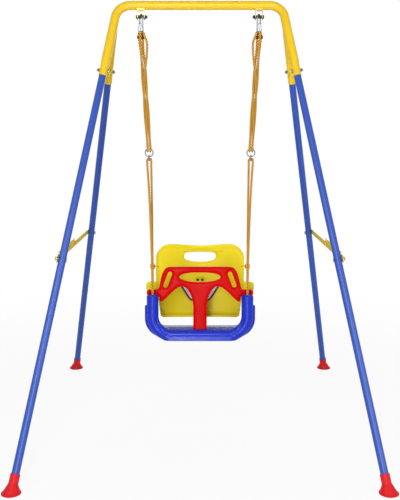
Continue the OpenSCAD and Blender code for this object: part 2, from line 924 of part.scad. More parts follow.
module upper_rope(s) {
    color("tan")
        mirrored(s)
            tube_along(upper_route, rope_d, upper_sides, [1, 0, 0]);
}
module rope_collars() {
    color("tan")
        for (s = [-1, 1])
            at_hook(s)
                translate([strand_gap, 0, hook_low - hook_w - collar_gap - collar_h]) {
                    for (y = [-hook_bight, hook_bight])
                        translate([0, y, 0])
                            cylinder(d = collar_d, h = collar_h);
                    translate([-collar_d / 2, -hook_bight, 0])
                        cube([collar_d, 2 * hook_bight, collar_h]);
                }
}
// rings: the lower one hangs in the upper one, at right angles
ring_link = ring_wire + rest_gap;
lower_ring_z = ring_z - upper_ring_r + ring_link - lower_ring_r;
module upper_rings() {
    color("silver")
        for (s = [-1, 1])
            mirrored(s)
                translate([ring_x, swing_y, ring_z])
                    rotate([90, 0, 0])
                        rotate_extrude()
                            translate([upper_ring_r, 0, 0])
                                circle(d = ring_wire);
}
module lower_rings() {
    color("silver")
        for (s = [-1, 1])
            mirrored(s)
                translate([ring_x, swing_y, lower_ring_z])
                    rotate([0, 90, 0])
                        rotate_extrude()
                            translate([lower_ring_r, 0, 0])
                                circle(d = ring_wire);
}
// lower rope of the right side, from the front post over the lower ring to the rear post
lower_front = [
    [151, -70.5, 378.6], [151, -69.1, 400], [151, -67.8, 418.5], [151, -66.6, 434.3], [151.2, -64.3, 450],
    [151.7, -60.7, 468.5], [152.6, -52.4, 509.5], [153.8, -43.8, 550.5], [155.2, -35, 592.5],
    [156.9, -26.1, 634.5], [158.8, -17.3, 676], [160.9, -8.5, 718], [163.3, 0.4, 760], [165.6, 8.1, 796],
    [167.8, 14.2, 824],
    [169.2, 17.6, 842], [169.4, 18.6, 854.8], [168.5, 18.6, 858], [166.2, 18.6, 860.4], [163, 18.6, 861.2],
    [159.8, 18.6, 860.4], [157.5, 18.6, 858], [156.6, 18.6, 854.8], [156.6, 19.7, 842]];
// from the ring to the eye: share of the way across, then depth and height
lower_rear_shares = [
    [0.02, 23.5, 824], [0.07, 30.8, 796], [0.14, 41.2, 760], [0.23, 53.2, 719], [0.34, 65.2, 678],
    [0.5, 77.2, 637], [0.68, 89.2, 596], [0.84, 101.2, 555], [0.95, 110.2, 524], [0.98, 114.7, 508.5],
    [1, 118.3, 493.5]];
lower_end = [
    [161.2, 120.2, 478], [161.4, 121, 464], [161.5, 121.3, 451], [161.5, 121.1, 439], [161.5, 120.2, 425],
    [161.5, 119.2, 411], [161.5, 117.2, 382], [161.5, 115.3, 355]];
off_ring = lower_front[len(lower_front) - 1][0];
lower_rear = [for (q = lower_rear_shares) [off_ring + q[0] * (eye_x - off_ring), q[1], q[2]]];
lower_route = concat(lower_front, lower_rear, lower_end);
lower_sides = 10;
module lower_rope(s) {
    color("tan")
        mirrored(s)
            tube_along(lower_route, rope_d, lower_sides, [0, 1, 0]);
}

// seat: everything in the seat's own tilted frame
module on_seat() {
    translate([0, swing_y, seat_z])
        rotate([-seat_tilt, 0, 0])
            children();
}
module front_tube() {
    low = roll_z + roll_bend;
    flat = post_x - roll_bend;
    translate([0, -roll_y, 0]) {
        translate([0, 0, roll_z])
            shank(-flat, flat, roll_d);
        for (s = [-1, 1])
            mirrored(s) {
                translate([post_x, 0, low])
                    cylinder(d = roll_d, h = post_top - low);
                translate([flat, 0, low])
                    rotate([90, 0, 0])
                        mirror([0, 1, 0])
                            rotate_extrude(angle = 90)
                                translate([roll_bend, 0, 0])
                                    circle(d = roll_d);
            }
    }
}
// place of a rib along the pan, front to rear
function rib_place(i) = (i - (rib_count - 1) / 2) * rib_pitch;
// section of the pan, as the outside or the hollow
module pan_section(half, low, r, top) {
    for (s = [-1, 1])
        translate([s * (half - r), low + r])
            circle(r = r);
    translate([-half + r, low])
        square([2 * (half - r), top - low]);
    translate([-half, low + r])
        square([2 * half, top - low - r]);
}
module pan_run(y0, y1) {
    translate([0, y1, 0])
        rotate([90, 0, 0])
            linear_extrude(height = y1 - y0)
                children();
}
module seat_shell() {
    notch_y = guard_y + rest_gap;
    color("royalblue")
        on_seat()
            difference() {
                union() {
                    front_tube();
                    difference() {
                        pan_run(-roll_y, pan_back)
                            pan_section(pan_x, pan_z - pan_t, pan_r, post_top);
                        pan_run(-roll_y - over, pan_back + over)
                            pan_section(pan_x - pan_t, pan_z, pan_r - pan_t, post_top + over);
                        translate([0, 0, pan_side + pan_dip_r])
                            shank(-pan_x - over, pan_x + over, 2 * pan_dip_r);
                    }
                    for (i = [0 : rib_count - 1])
                        translate([pan_r - pan_x, rib_place(i) - rib_w / 2, pan_z - over])
                            cube([2 * (pan_x - pan_r), rib_w, rib_h + over]);
                    for (s = [-1, 1])
                        mirrored(s)
                            intersection() {
                                translate([rear_x - rear_w / 2, rear_y - rear_d / 2, pan_z - pan_t])
                                    cube([rear_w, rear_d, rear_top - pan_z + pan_t]);
                                pan_run(rear_y - rear_d, rear_y + rear_d)
                                    pan_section(pan_x, pan_z - pan_t, pan_r, post_top);
                            }
                }
                for (s = [-1, 1])
                    mirrored(s) {
                        translate([post_x, -roll_y, post_top - rope_depth])
                            cylinder(d = rope_bore, h = rope_depth + over);
                        translate([rear_x, rear_y, rear_top - rope_depth])
                            cylinder(d = rope_bore, h = rope_depth + over);
                        translate([post_x - roll_d / 2 - over, -notch_y, guard_end_z - rest_gap])
                            cube([roll_d + 2 * over, roll_d, roll_d]);
                    }
                translate([-post_half - run_gap, -notch_y, guard_low - rest_gap])
                    cube([2 * (post_half + run_gap), roll_d, roll_d]);
            }
}

// safety bar: half outline as shares of its half width and its height, from its top to its lower end
guard_shares = [
    [0, 1], [0.54, 1], [0.635, 0.988], [0.688, 0.933], [0.727, 0.851], [0.753, 0.758], [0.773, 0.678],
    [0.812, 0.656], [0.965, 0.656], [1, 0.656], [1, 0.563], [0.8, 0.563], [0.765, 0.563],
    [0.762, 0.479], [0.712, 0.477], [0.635, 0.53], [0.541, 0.607], [0.447, 0.674], [0.365, 0.709],
    [0.288, 0.705], [0.218, 0.649], [0.159, 0.556], [0.127, 0.451], [0.127, 0.25], [0.127, 0]];
post_share = 0.127;
post_half = post_share * guard_half;
guard_h = guard_top - guard_low;
// corners cut twice at a quarter of each edge, with the two ends kept
corner_share = 0.25;
function cut_corners(p) = concat([p[0]],
    [for (i = [0 : len(p) - 2]) for (f = [corner_share, 1 - corner_share]) p[i] + f * (p[i + 1] - p[i])],
    [p[len(p) - 1]]);
guard_side = [for (q = cut_corners(guard_shares)) [q[0] * guard_half, guard_low + q[1] * guard_h]];
guard_other = [for (i = [len(guard_side) - 1 : -1 : 1]) [-guard_side[i][0], guard_side[i][1]]];
guard_outline = concat(guard_side, guard_other);
// ends of a side slot, as shares of the bar's half width and height
slot_shares = [[0.562, 0.895], [0.647, 0.719]];
function on_guard(q) = [q[0] * guard_half, guard_low + q[1] * guard_h];
module side_slot() {
    a = on_guard(slot_shares[0]);
    b = on_guard(slot_shares[1]);
    v = b - a;
    for (p = [a, b])
        translate(p)
            circle(d = side_slot_w);
    translate(a)
        rotate(atan2(v[1], v[0]))
            translate([0, bead - side_slot_w / 2])
                square([norm(v), side_slot_w - 2 * bead]);
}
// closed loop between an oval and a box: the powers of its upper and lower half set how square they are
loop_steps = 48;
window_powers = [2.4, 2];
handle_powers = [4.5, 2.2];
function bowed(c, power) = sign(c) * pow(abs(c), 2 / power);
function loop_point(w, h, a, powers) = let (power = sin(a) > 0 ? powers[0] : powers[1])
    [w / 2 * bowed(cos(a), power), h / 2 * bowed(sin(a), power)];
module loop(w, h, powers) {
    polygon([for (i = [0 : loop_steps - 1]) loop_point(w, h, 360 * i / loop_steps, powers)]);
}
module safety_bar() {
    color("red")
        on_seat()
            difference() {
                pan_run(-guard_y, guard_t - guard_y)
                    difference() {
                        polygon(guard_outline);
                        translate([0, window_z])
                            loop(window_w, window_h, window_powers);
                        for (s = [-1, 1])
                            mirror([s < 0 ? 1 : 0, 0])
                                side_slot();
                    }
                for (s = [-1, 1])
                    mirrored(s)
                        translate([post_x - notch_w / 2, -guard_y - over, 0])
                            cube([notch_w, notch_deep + over, guard_top]);
            }
}

// backrest: panel curved from side to side, with a turned rim, ears on the rear posts and a handle slot
back_low_half = back_half - back_taper;
handle_z = back_h - handle_drop;
module on_back() {
    on_seat()
        translate([0, back_y, back_z])
            rotate([-back_lean, 0, 0])
                children();
}
// the dip lies between the two top corners
dip_half = min(back_dip_half, back_half - back_corner);
// points of an arc, and the upper edge's height at a distance from the middle
function arc(c, r, a0, a1, n) = [for (i = [0 : n])
    let (a = a0 + (a1 - a0) * i / n) c + r * [cos(a), sin(a)]];
function top_edge(x) = back_h - back_dip * (1 - ease(abs(x) / dip_half));
low_steps = 6;
corner_steps = 12;
dip_steps = 10;
// right half of the panel's front view, from its lower edge up, drawn in by a margin
function back_half_view(in) = concat(
    arc([back_low_half - back_low_r, back_low_r], back_low_r - in, -90, 0, low_steps),
    [[back_half - in, back_h / 2]],
    arc([back_half - back_corner, back_h - back_corner], back_corner - in, 0, 90, corner_steps),
    [for (i = [dip_steps : -1 : 0])
        let (x = dip_half * i / dip_steps) [x, top_edge(x) - in]]);
module back_view(in) {
    right = back_half_view(in);
    polygon(concat(right, [for (i = [len(right) - 2 : -1 : 0]) [-right[i][0], right[i][1]]]));
}
// shell of the panel between two depths behind its front face
module back_layer(d0, d1) {
    translate([0, -back_bow, -over])
        difference() {
            cylinder(r = back_bow + d1, h = back_h + 2 * over, $fn = 4 * hull_fn);
            translate([0, 0, -over])
                cylinder(r = back_bow + d0, h = back_h + 4 * over, $fn = 4 * hull_fn);
        }
}
rim_deep = 3 * back_t;
rim_in = back_t;
module back_panel() {
    intersection() {
        pan_run(-reach, reach)
            back_view(0);
        back_layer(0, back_t);
    }
    intersection() {
        pan_run(-reach, reach)
            difference() {
                back_view(0);
                back_view(rim_in);
            }
        back_layer(0, rim_deep);
    }
}
ear_low = rear_top + rest_gap;
ear_end = ear_reach - bead;
ear_view = concat(
    [[back_low_half, ear_low], [ear_end, ear_low]],
    arc([ear_end - ear_round, ear_low + ear_h - ear_round], ear_round, 0, 90, low_steps),
    [[back_low_half, ear_low + ear_h]]);
module ears() {
    for (s = [-1, 1])
        mirrored(s)
            intersection() {
                translate([0, 0, ear_low - over]) {
                    translate([back_low_half - over, rear_y - ear_deep / 2, 0])
                        cube([ear_reach - back_low_half + over - ear_deep / 2, ear_deep, ear_h + 2 * over]);
                    translate([ear_reach - ear_deep / 2, rear_y, 0])
                        cylinder(d = ear_deep, h = ear_h + 2 * over);
                }
                pan_run(rear_y - ear_deep, rear_y + ear_deep)
                    polygon(ear_view);
            }
}
slot_w = web_t + 4 * run_gap;
module backrest() {
    color("gold")
        difference() {
            union() {
                on_back() {
                    back_panel();
                    translate([-lip_w / 2, -lip_deep, handle_z + handle_h / 2])
                        cube([lip_w, back_t + lip_deep, lip_h]);
                }
                difference() {
                    on_seat()
                        ears();
                    on_back()
                        back_room();
                }
            }
            on_back() {
                pan_run(-reach, reach)
                    translate([0, handle_z])
                        loop(handle_w, handle_h, handle_powers);
                for (s = [-1, 1])
                    translate([s * strap_x, 0, strap_z])
                        cube([slot_w, reach, web_w + 4 * run_gap], center = true);
                for (s = [-1, 1])
                    translate([s * anchor_rivet_x, 0, anchor_z])
                        rotate([90, 0, 0])
                            cylinder(d = anchor_rivet_d + 2 * pin_gap, h = reach, center = true);
            }
            on_seat()
                for (s = [-1, 1])
                    mirrored(s) {
                        translate([rear_x, rear_y, ear_low - over])
                            cylinder(d = rope_bore, h = ear_h + 2 * over);
                        translate([0, eye_pin_y, eye_z])
                            shank(back_half - 2 * rim_in, reach + back_half, eye_pin_d + 2 * pin_gap);
                    }
        }
}
// room for the child's back, kept free of the ears
module back_room() {
    intersection() {
        translate([-back_half + rim_in, -reach, 0])
            cube([2 * (back_half - rim_in), 2 * reach, back_h]);
        union() {
            back_layer(-reach, 0);
            back_layer(back_t, reach);
        }
    }
}
eye_pin_y = eye_y + eye_d / 2 - eye_pin_d;
eye_pin_in = eye_bore / 2 + 2 * rest_gap;
module rope_eyes() {
    color("orange")
        on_seat()
            for (s = [-1, 1])
                mirrored(s)
                    translate([eye_x, eye_y, eye_z])
                        difference() {
                            rotate([eye_aim, 0, 0])
                                difference() {
                                    cylinder(d = eye_d, h = eye_h, center = true);
                                    cylinder(d = eye_bore, h = eye_h + 2 * over, center = true);
                                }
                            translate([0, eye_pin_y - eye_y, 0])
                                shank(-eye_d, -eye_pin_in, eye_pin_d + 2 * pin_gap);
                        }
}
// lean of the rope where it passes an eye
eye_aim = 13;
module rope_eye_pins() {
    color("dimgray")
        on_seat()
            for (s = [-1, 1])
                mirrored(s)
                    translate([0, eye_pin_y, eye_z])
                        shank(back_half - 2 * rim_in, eye_x - eye_pin_in - pin_gap, eye_pin_d);
}

// harness: two straps from the backrest's slots to a buckle, held behind by a plate
anchor_z = strap_z + web_w / 2 - anchor_rivet_d / 2;
strap_front = -buckle_gap - buckle_t / 2;
buckle_end = buckle_len / 2 + run_gap;
// face of the panel at a distance from its middle
function sag(x) = back_bow - sqrt(back_bow * back_bow - x * x);
slot_front = -sag(strap_x + web_w / 2) - web_t;
// share of the webbing's width over which it turns beside the buckle
web_turn_share = 0.4;
strap_back = back_t + run_gap;
module harness_strap(s) {
    a = [buckle_end + web_turn_share * web_w, strap_front, buckle_z];
    b = [strap_x, slot_front - run_gap, strap_z];
    v = b - a;
    color("black")
        on_back()
            mirrored(s) {
                translate(a)
                    rotate([0, 0, atan2(v[1], v[0])])
                        rotate([0, -atan2(v[2], norm([v[0], v[1]])), 0])
                            translate([0, -web_t / 2, -web_w / 2])
                                cube([norm(v) + web_t / 2, web_t, web_w]);
                translate([buckle_end, strap_front - web_t / 2, buckle_z - web_w / 2])
                    cube([web_turn_share * web_w, web_t, web_w]);
                translate([strap_x - web_t / 2, slot_front - run_gap, strap_z - web_w / 2])
                    cube([web_t, strap_back + web_t - slot_front + run_gap, web_w]);
                translate([run_gap, strap_back, strap_z - web_w / 2])
                    difference() {
                        cube([strap_x - run_gap, web_t, web_w]);
                        translate([anchor_rivet_x - run_gap, 0, anchor_z - strap_z + web_w / 2])
                            rotate([90, 0, 0])
                                cylinder(d = anchor_rivet_d + 2 * run_gap, h = reach, center = true);
                    }
            }
}
module at_buckle() {
    on_back()
        translate([0, strap_front, buckle_z])
            children();
}
// wall and length of the buckle's body, and width of a prong
buckle_wall = 2;
body_len = 3 * buckle_len / 4;
prong_w = 6;
module buckle_body() {
    color("black")
        at_buckle()
            difference() {
                translate([-buckle_len / 4, 0, 0])
                    translate([0, -buckle_t / 2, -buckle_h / 2])
                        cube([body_len, buckle_t, buckle_h]);
                translate([-buckle_len / 4 - over, buckle_wall - buckle_t / 2, buckle_wall - buckle_h / 2])
                    cube([body_len - buckle_wall, buckle_t - 2 * buckle_wall, buckle_h - 2 * buckle_wall]);
            }
}
module buckle_tongue() {
    thick = buckle_t - 2 * buckle_wall - 2 * run_gap;
    inside = buckle_h - 2 * buckle_wall - 2 * run_gap;
    color("black")
        at_buckle() {
            translate([-buckle_len / 2, -buckle_t / 2, -buckle_h / 2])
                cube([buckle_len / 4 - run_gap, buckle_t, buckle_h]);
            for (z = [-inside / 2, inside / 2 - prong_w])
                translate([-buckle_len / 4 - run_gap, -thick / 2, z])
                    cube([buckle_len / 2, thick, prong_w]);
        }
}
anchor_back = strap_back + web_t + run_gap;
module harness_anchor() {
    color("black")
        on_back()
            difference() {
                translate([-anchor_w / 2, anchor_back, anchor_z - anchor_h / 2])
                    cube([anchor_w, anchor_t, anchor_h]);
                for (s = [-1, 1])
                    translate([s * anchor_rivet_x, 0, anchor_z])
                        rotate([90, 0, 0])
                            cylinder(d = anchor_rivet_d + 2 * pin_gap, h = reach, center = true);
            }
}
module harness_rivets() {
    color("dimgray")
        on_back()
            for (s = [-1, 1])
                translate([s * anchor_rivet_x, 0, anchor_z])
                    rotate([-90, 0, 0]) {
                        translate([0, 0, -sag(anchor_rivet_x) - rest_gap - anchor_head_h])
                            cylinder(d = anchor_head_d, h = anchor_head_h);
                        translate([0, 0, -sag(anchor_rivet_x) - rest_gap - anchor_head_h / 2])
                            cylinder(d = anchor_rivet_d,
                                h = anchor_back + anchor_t + rest_gap + sag(anchor_rivet_x) + anchor_head_h);
                        translate([0, 0, anchor_back + anchor_t])
                            cylinder(d = anchor_head_d, h = anchor_head_h);
                    }
}

top_arch();
rear_arm(-1);  // rear_arm_left
rear_arm(1);  // rear_arm_right
front_leg(-1);  // front_leg_left
front_leg(1);  // front_leg_right
foot(-1, -1);  // front_foot_left
foot(1, -1);  // front_foot_right
front_lock_bolts();
front_lock_nuts();
fold_bolts();
fold_nuts();
brace_front_bolts();
brace_front_nuts();
brace_spacers();
hanger_brackets();
hanger_bolts();
hanger_nuts();
hanger_bushes();
rear_leg(-1);  // rear_leg_left
rear_leg(1);  // rear_leg_right
rear_knuckle(-1);  // rear_knuckle_left
rear_knuckle(1);  // rear_knuckle_right
foot(-1, 1);  // rear_foot_left
foot(1, 1);  // rear_foot_right
brace_rear_bolt(-1);  // brace_rear_bolt_left
brace_rear_bolt(1);  // brace_rear_bolt_right
brace_rear_nut(-1);  // brace_rear_nut_left
brace_rear_nut(1);  // brace_rear_nut_right
brace_front_link(-1);  // brace_front_link_left
brace_front_link(1);  // brace_front_link_right
brace_rivet(-1);  // brace_rivet_left
brace_rivet(1);  // brace_rivet_right
brace_rear_link(-1);  // brace_rear_link_left
brace_rear_link(1);  // brace_rear_link_right
brace_rivet_seat(-1);  // brace_rivet_seat_left
brace_rivet_seat(1);  // brace_rivet_seat_right
snap_hook(-1);  // snap_hook_left
snap_hook(1);  // snap_hook_right
snap_gate(-1);  // snap_gate_left
snap_gate(1);  // snap_gate_right
upper_rope(-1);  // upper_rope_left
upper_rope(1);  // upper_rope_right
rope_collars();
upper_rings();
lower_rings();
lower_rope(-1);  // lower_rope_left
lower_rope(1);  // lower_rope_right
seat_shell();
backrest();
rope_eyes();
rope_eye_pins();
harness_strap(-1);  // harness_strap_left
harness_strap(1);  // harness_strap_right
buckle_body();
buckle_tongue();
harness_anchor();
harness_rivets();
safety_bar();
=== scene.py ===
"""Looks of an indoor swing frame: enamelled tubes, laid ropes and a moulded seat with its harness."""
import math

import bmesh
import bpy
import numpy as np
from mathutils import Matrix, Vector
from mathutils.kdtree import KDTree


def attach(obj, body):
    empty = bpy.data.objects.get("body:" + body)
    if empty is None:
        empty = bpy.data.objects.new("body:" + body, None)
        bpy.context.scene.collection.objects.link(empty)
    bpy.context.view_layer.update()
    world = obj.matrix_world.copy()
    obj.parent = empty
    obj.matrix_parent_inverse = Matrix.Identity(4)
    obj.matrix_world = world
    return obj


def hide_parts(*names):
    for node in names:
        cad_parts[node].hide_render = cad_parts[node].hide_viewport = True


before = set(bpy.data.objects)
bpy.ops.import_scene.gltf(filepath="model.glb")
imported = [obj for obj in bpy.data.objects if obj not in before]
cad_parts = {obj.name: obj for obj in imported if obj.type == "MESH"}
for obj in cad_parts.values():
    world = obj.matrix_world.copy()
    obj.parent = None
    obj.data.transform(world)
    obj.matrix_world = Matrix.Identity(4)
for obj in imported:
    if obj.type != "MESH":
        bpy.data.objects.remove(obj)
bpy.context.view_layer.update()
MM = 0.001
SIDES = (("left", -1), ("right", 1))

# Camera at the photograph's own viewpoint, for a picture of 400 x 500 pixels.
CAMERA_AT = (0.0, -2.536, 0.951)
CAMERA_PITCH = 8.6          # degrees below the horizon
CAMERA_LENS = 57.0          # mm, for the next height of the picture in mm
PICTURE_HIGH = 36.0
SEES_TO = 100.0             # metres
camera_data = bpy.data.cameras.new("camera")
camera_data.sensor_fit = "VERTICAL"
camera_data.sensor_height = PICTURE_HIGH
camera_data.lens = CAMERA_LENS
camera_data.clip_end = SEES_TO
camera = bpy.data.objects.new("camera", camera_data)
camera.location = CAMERA_AT
camera.rotation_euler = (math.radians(90 - CAMERA_PITCH), 0, 0)
bpy.context.collection.objects.link(camera)
bpy.context.scene.camera = camera

# Places in millimetres, as the solids have them: the tilted seat and the leaning backrest on it.
SWING_Y = 18.624
SEAT_Z, SEAT_TILT = 292.0, 4.0
BACK_Y, BACK_Z, BACK_LEAN = 92.0, 33.0, 4.0
seat_place = Matrix.Translation((0, SWING_Y * MM, SEAT_Z * MM)) @ Matrix.Rotation(
    math.radians(-SEAT_TILT), 4, "X")
back_place = seat_place @ Matrix.Translation((0, BACK_Y * MM, BACK_Z * MM)) @ Matrix.Rotation(
    math.radians(-BACK_LEAN), 4, "X")


def new_piece(name, points, faces, lay=None):
    """A smooth mesh piece from points in metres; lay gives each point's place across and along it."""
    mesh = bpy.data.meshes.new(name)
    mesh.from_pydata([tuple(p) for p in points], [], faces)
    mesh.polygons.foreach_set("use_smooth", [True] * len(mesh.polygons))
    if lay is not None:
        layer = mesh.uv_layers.new(name="lay")
        for loop in mesh.loops:
            layer.data[loop.index].uv = lay[loop.vertex_index]
    mesh.update()
    piece = bpy.data.objects.new(name, mesh)
    bpy.context.collection.objects.link(piece)
    return piece


def ring_faces(rings, count, first=0):
    """Faces between rings of count points that follow each other, from a first point on."""
    faces = []
    for start in range(first, first + (rings - 1) * count, count):
        for j in range(count):
            k = (j + 1) % count
            faces.append((start + j, start + k, start + count + k, start + count + j))
    return faces


def end_faces(rings, count):
    """The two faces that close the ends of a tube of rings."""
    last = (rings - 1) * count
    return [tuple(reversed(range(count))), tuple(range(last, last + count))]


def smooth_line(points, step):
    """Points about a step apart on the smooth line through the given ones."""
    p = np.asarray(points, float)
    ends = np.vstack([2 * p[0] - p[1], p, 2 * p[-1] - p[-2]])
    line = []
    for i in range(1, len(ends) - 2):
        a, b, c, d = ends[i - 1:i + 3]
        parts = max(1, int(math.ceil(np.linalg.norm(c - b) / step)))
        gap_in, gap, gap_out = (math.sqrt(np.linalg.norm(v)) for v in (b - a, c - b, d - c))
        into = (b - a) / gap_in - (c - a) / (gap_in + gap) + (c - b) / gap
        out = (c - b) / gap - (d - b) / (gap + gap_out) + (d - c) / gap_out
        for t in np.arange(parts) / parts:
            line.append((2 * t**3 - 3 * t**2 + 1) * b + (t**3 - 2 * t**2 + t) * gap * into
                        + (3 * t**2 - 2 * t**3) * c + (t**3 - t**2) * gap * out)
    line.append(p[-1])
    return np.array(line)


def run_along(line):
    """Distance along a line at each of its points."""
    return np.concatenate([[0], np.cumsum(np.linalg.norm(np.diff(line, axis=0), axis=1))])


def ways_along(line):
    """Way that a line runs at each of its points."""
    ways = np.gradient(line, axis=0)
    return ways / np.linalg.norm(ways, axis=1)[:, None]


def sweep(name, line, sections, aim):
    """A closed tube: a ring of (across, up) offsets for each point of the line, turned little."""
    line = np.asarray(line, float)
    runs = run_along(line)
    side = np.asarray(aim, float)
    points, lay, count = [], [], len(sections[0])
    for i, (p, way) in enumerate(zip(line, ways_along(line))):
        side = side - way * side.dot(way)
        side /= np.linalg.norm(side)
        up = np.cross(way, side)
        for j, (a, b) in enumerate(sections[i]):
            points.append(p + a * side + b * up)
            lay.append((j / count, runs[i]))
    faces = ring_faces(len(line), count) + end_faces(len(line), count)
    return new_piece(name, points, faces, lay)


# Ropes: an upper one in four runs and a lower one a side, in millimetres on the right side.
ROPE_D = 8.0
LAY_LENGTH = 27.0           # one turn of the rope's strands
LAID_STRANDS, STRAND_D = 3, 3.72
ROPE_STEP = 2.4
LOBE_POINTS = 6
VALLEY_SHARE = 0.6          # least radius between two strands, of the rope's own
HANGER_X, RING_X, RING_Z = 184.0, 163.0, 880.0
HOOK_MID, HOOK_R, UPPER_RING_R = 1259.0, 12.0, 12.5
HOOK_TURN, HANK_TWIST, HANK_SLACK = 60.0, 210.0, 10.0
STRAND_GAP, BIGHT = 4.4, 6.95
SPREAD_SHARE, SLACK_SHARES = 0.16, (0.08, 0.14, 0.46)
SLACK_STRAND = 1
START_SHARE, END_SHARE = 0.031, 0.017
STRAND_STEPS, BIGHT_STEPS = 20, 6
STRAND_SIGNS = ((1, 1), (-1, 1), (-1, -1), (1, -1))
HOOK_WIRE_Z = HOOK_MID - math.sqrt(HOOK_R**2 - STRAND_GAP**2)
RING_WIRE_Z = RING_Z + math.sqrt(UPPER_RING_R**2 - STRAND_GAP**2)
LOWER_ROUTE = (
    (151, -70.5, 378.6), (151, -69.1, 400), (151, -67.8, 418.5), (151, -66.6, 434.3),
    (151.2, -64.3, 450), (151.7, -60.7, 468.5), (152.6, -52.4, 509.5), (153.8, -43.8, 550.5),
    (155.2, -35, 592.5), (156.9, -26.1, 634.5), (158.8, -17.3, 676), (160.9, -8.5, 718),
    (163.3, 0.4, 760), (165.6, 8.1, 796), (167.8, 14.2, 824), (169.2, 17.6, 842),
    (169.4, 18.6, 854.8), (168.5, 18.6, 858), (166.2, 18.6, 860.4), (163, 18.6, 861.2),
    (159.8, 18.6, 860.4), (157.5, 18.6, 858), (156.6, 18.6, 854.8), (156.6, 19.7, 842),
    (156.7, 23.5, 824), (156.9, 30.8, 796), (157.2, 41.2, 760), (157.6, 53.2, 719),
    (158.1, 65.2, 678), (158.8, 77.2, 637), (159.6, 89.2, 596), (160.3, 101.2, 555),
    (160.8, 110.2, 524), (160.9, 114.7, 508.5), (161, 118.3, 493.5), (161.2, 120.2, 478),
    (161.4, 121, 464), (161.5, 121.3, 451), (161.5, 121.1, 439), (161.5, 120.2, 425),
    (161.5, 119.2, 411), (161.5, 117.2, 382), (161.5, 115.3, 355))


def ease(e):
    """Smooth step from 0 to 1."""
    c = min(1.0, max(0.0, e))
    return c * c * (3 - 2 * c)


def strand(k, u):
    """Point of the upper rope's run k at a share u of the way from the hook down to the ring."""
    turn = math.radians(HOOK_TURN + HANK_TWIST * ease(u))
    along = STRAND_GAP + (BIGHT - STRAND_GAP) * (1 - ease((1 - u) / SPREAD_SHARE))
    across = STRAND_GAP + (BIGHT - STRAND_GAP) * (1 - ease(u / SPREAD_SHARE))
    q = np.array((STRAND_SIGNS[k][0] * along, STRAND_SIGNS[k][1] * across))
    if k == SLACK_STRAND:
        out, back, home = SLACK_SHARES
        q = q + HANK_SLACK * ease(u / out) * ease((home - u) / (home - back)) * q / np.linalg.norm(q)
    return np.array((
        HANGER_X + (RING_X - HANGER_X) * u + q[0] * math.cos(turn) - q[1] * math.sin(turn),
        SWING_Y + q[0] * math.sin(turn) + q[1] * math.cos(turn),
        HOOK_WIRE_Z + (RING_WIRE_Z - HOOK_WIRE_Z) * u))


def strand_run(k, u0, u1):
    """Points of run k between two shares of its height."""
    return [strand(k, u0 + (u1 - u0) * i / STRAND_STEPS) for i in range(STRAND_STEPS + 1)]


def bight(p, q, rise):
    """Half turn of the rope from one run's end to the next."""
    turns = [math.pi * i / BIGHT_STEPS for i in range(1, BIGHT_STEPS)]
    return [(p + q) / 2 + math.cos(a) * (p - q) / 2 + np.array((0, 0, rise * math.sin(a)))
            for a in turns]


UPPER_ROUTE = (
    strand_run(0, START_SHARE, 1) + bight(strand(0, 1), strand(1, 1), -BIGHT)
    + strand_run(1, 1, 0) + bight(strand(1, 0), strand(2, 0), BIGHT)
    + strand_run(2, 0, 1) + bight(strand(2, 1), strand(3, 1), -BIGHT)
    + strand_run(3, 1, 0) + bight(strand(3, 0), strand(0, 0), BIGHT)
    + [strand(0, 0), strand(0, END_SHARE)])


def lobes():
    """Radius and angle round the rope's section: strands side by side, with shallow valleys."""
    strand_r = STRAND_D / 2
    middle = ROPE_D / 2 - strand_r
    wedge = 360 / LAID_STRANDS
    ring = []
    for lobe in range(LAID_STRANDS):
        for j in range(LOBE_POINTS):
            off = math.radians(wedge * j / LOBE_POINTS - wedge / 2)
            deep = max(0.0, strand_r**2 - (middle * math.sin(off))**2)
            out = max(VALLEY_SHARE * ROPE_D / 2, middle * math.cos(off) + math.sqrt(deep))
            ring.append((out, math.radians(wedge * lobe) + off))
    return ring


def laid_rope(name, route, side, aim):
    """Rope with its strands laid right-handed round the route, on the right (1) or left (-1) side."""
    line = smooth_line(route, ROPE_STEP)
    line[:, 0] *= side
    section = lobes()
    rings = []
    for twist in 2 * math.pi * run_along(line) / LAY_LENGTH:
        rings.append([(r * MM * math.cos(a + twist), r * MM * math.sin(a + twist))
                      for r, a in section])
    rope = sweep(name, line * MM, rings, aim)
    low, high = min(r for r, a in section), max(r for r, a in section)
    # How high each point stands over the valleys; the rope's finish paints shade between the strands
    # from it.
    depth = rope.data.attributes.new("strand_depth", "FLOAT", "POINT")
    depth.data.foreach_set("value", [(r - low) / (high - low) for r, a in section] * len(line))
    return rope, line * MM


# Each rope's level, route, body that carries it and the way that its lay starts from.
ROPE_RUNS = (("upper", UPPER_ROUTE, "hangers", (1, 0, 0)), ("lower", LOWER_ROUTE, "seat", (0, 1, 0)))
ropes = []
for word, side in SIDES:
    for level, route, body, aim in ROPE_RUNS:
        rope, line = laid_rope(f"{level}_rope_laid_{word}", route, side, aim)
        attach(rope, body)
        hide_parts(f"{level}_rope_{word}")
        ropes.append(rope)


def linear(code):
    """Linear colour of an sRGB hex value."""
    parts = [int(code[i:i + 2], 16) / 255 for i in (1, 3, 5)]
    return tuple(c / 12.92 if c <= 0.04045 else ((c + 0.055) / 1.055) ** 2.4 for c in parts) + (1.0,)


def add(finish, kind, inputs=None, **settings):
    """Adds a node to a finish, with its settings, and sets or links its inputs."""
    made = finish.node_tree.nodes.new(kind)
    for key, value in settings.items():
        setattr(made, key, value)
    for socket, value in (inputs or {}).items():
        if isinstance(value, bpy.types.NodeSocket):
            finish.node_tree.links.new(value, made.inputs[socket])
        else:
            made.inputs[socket].default_value = value
    return made


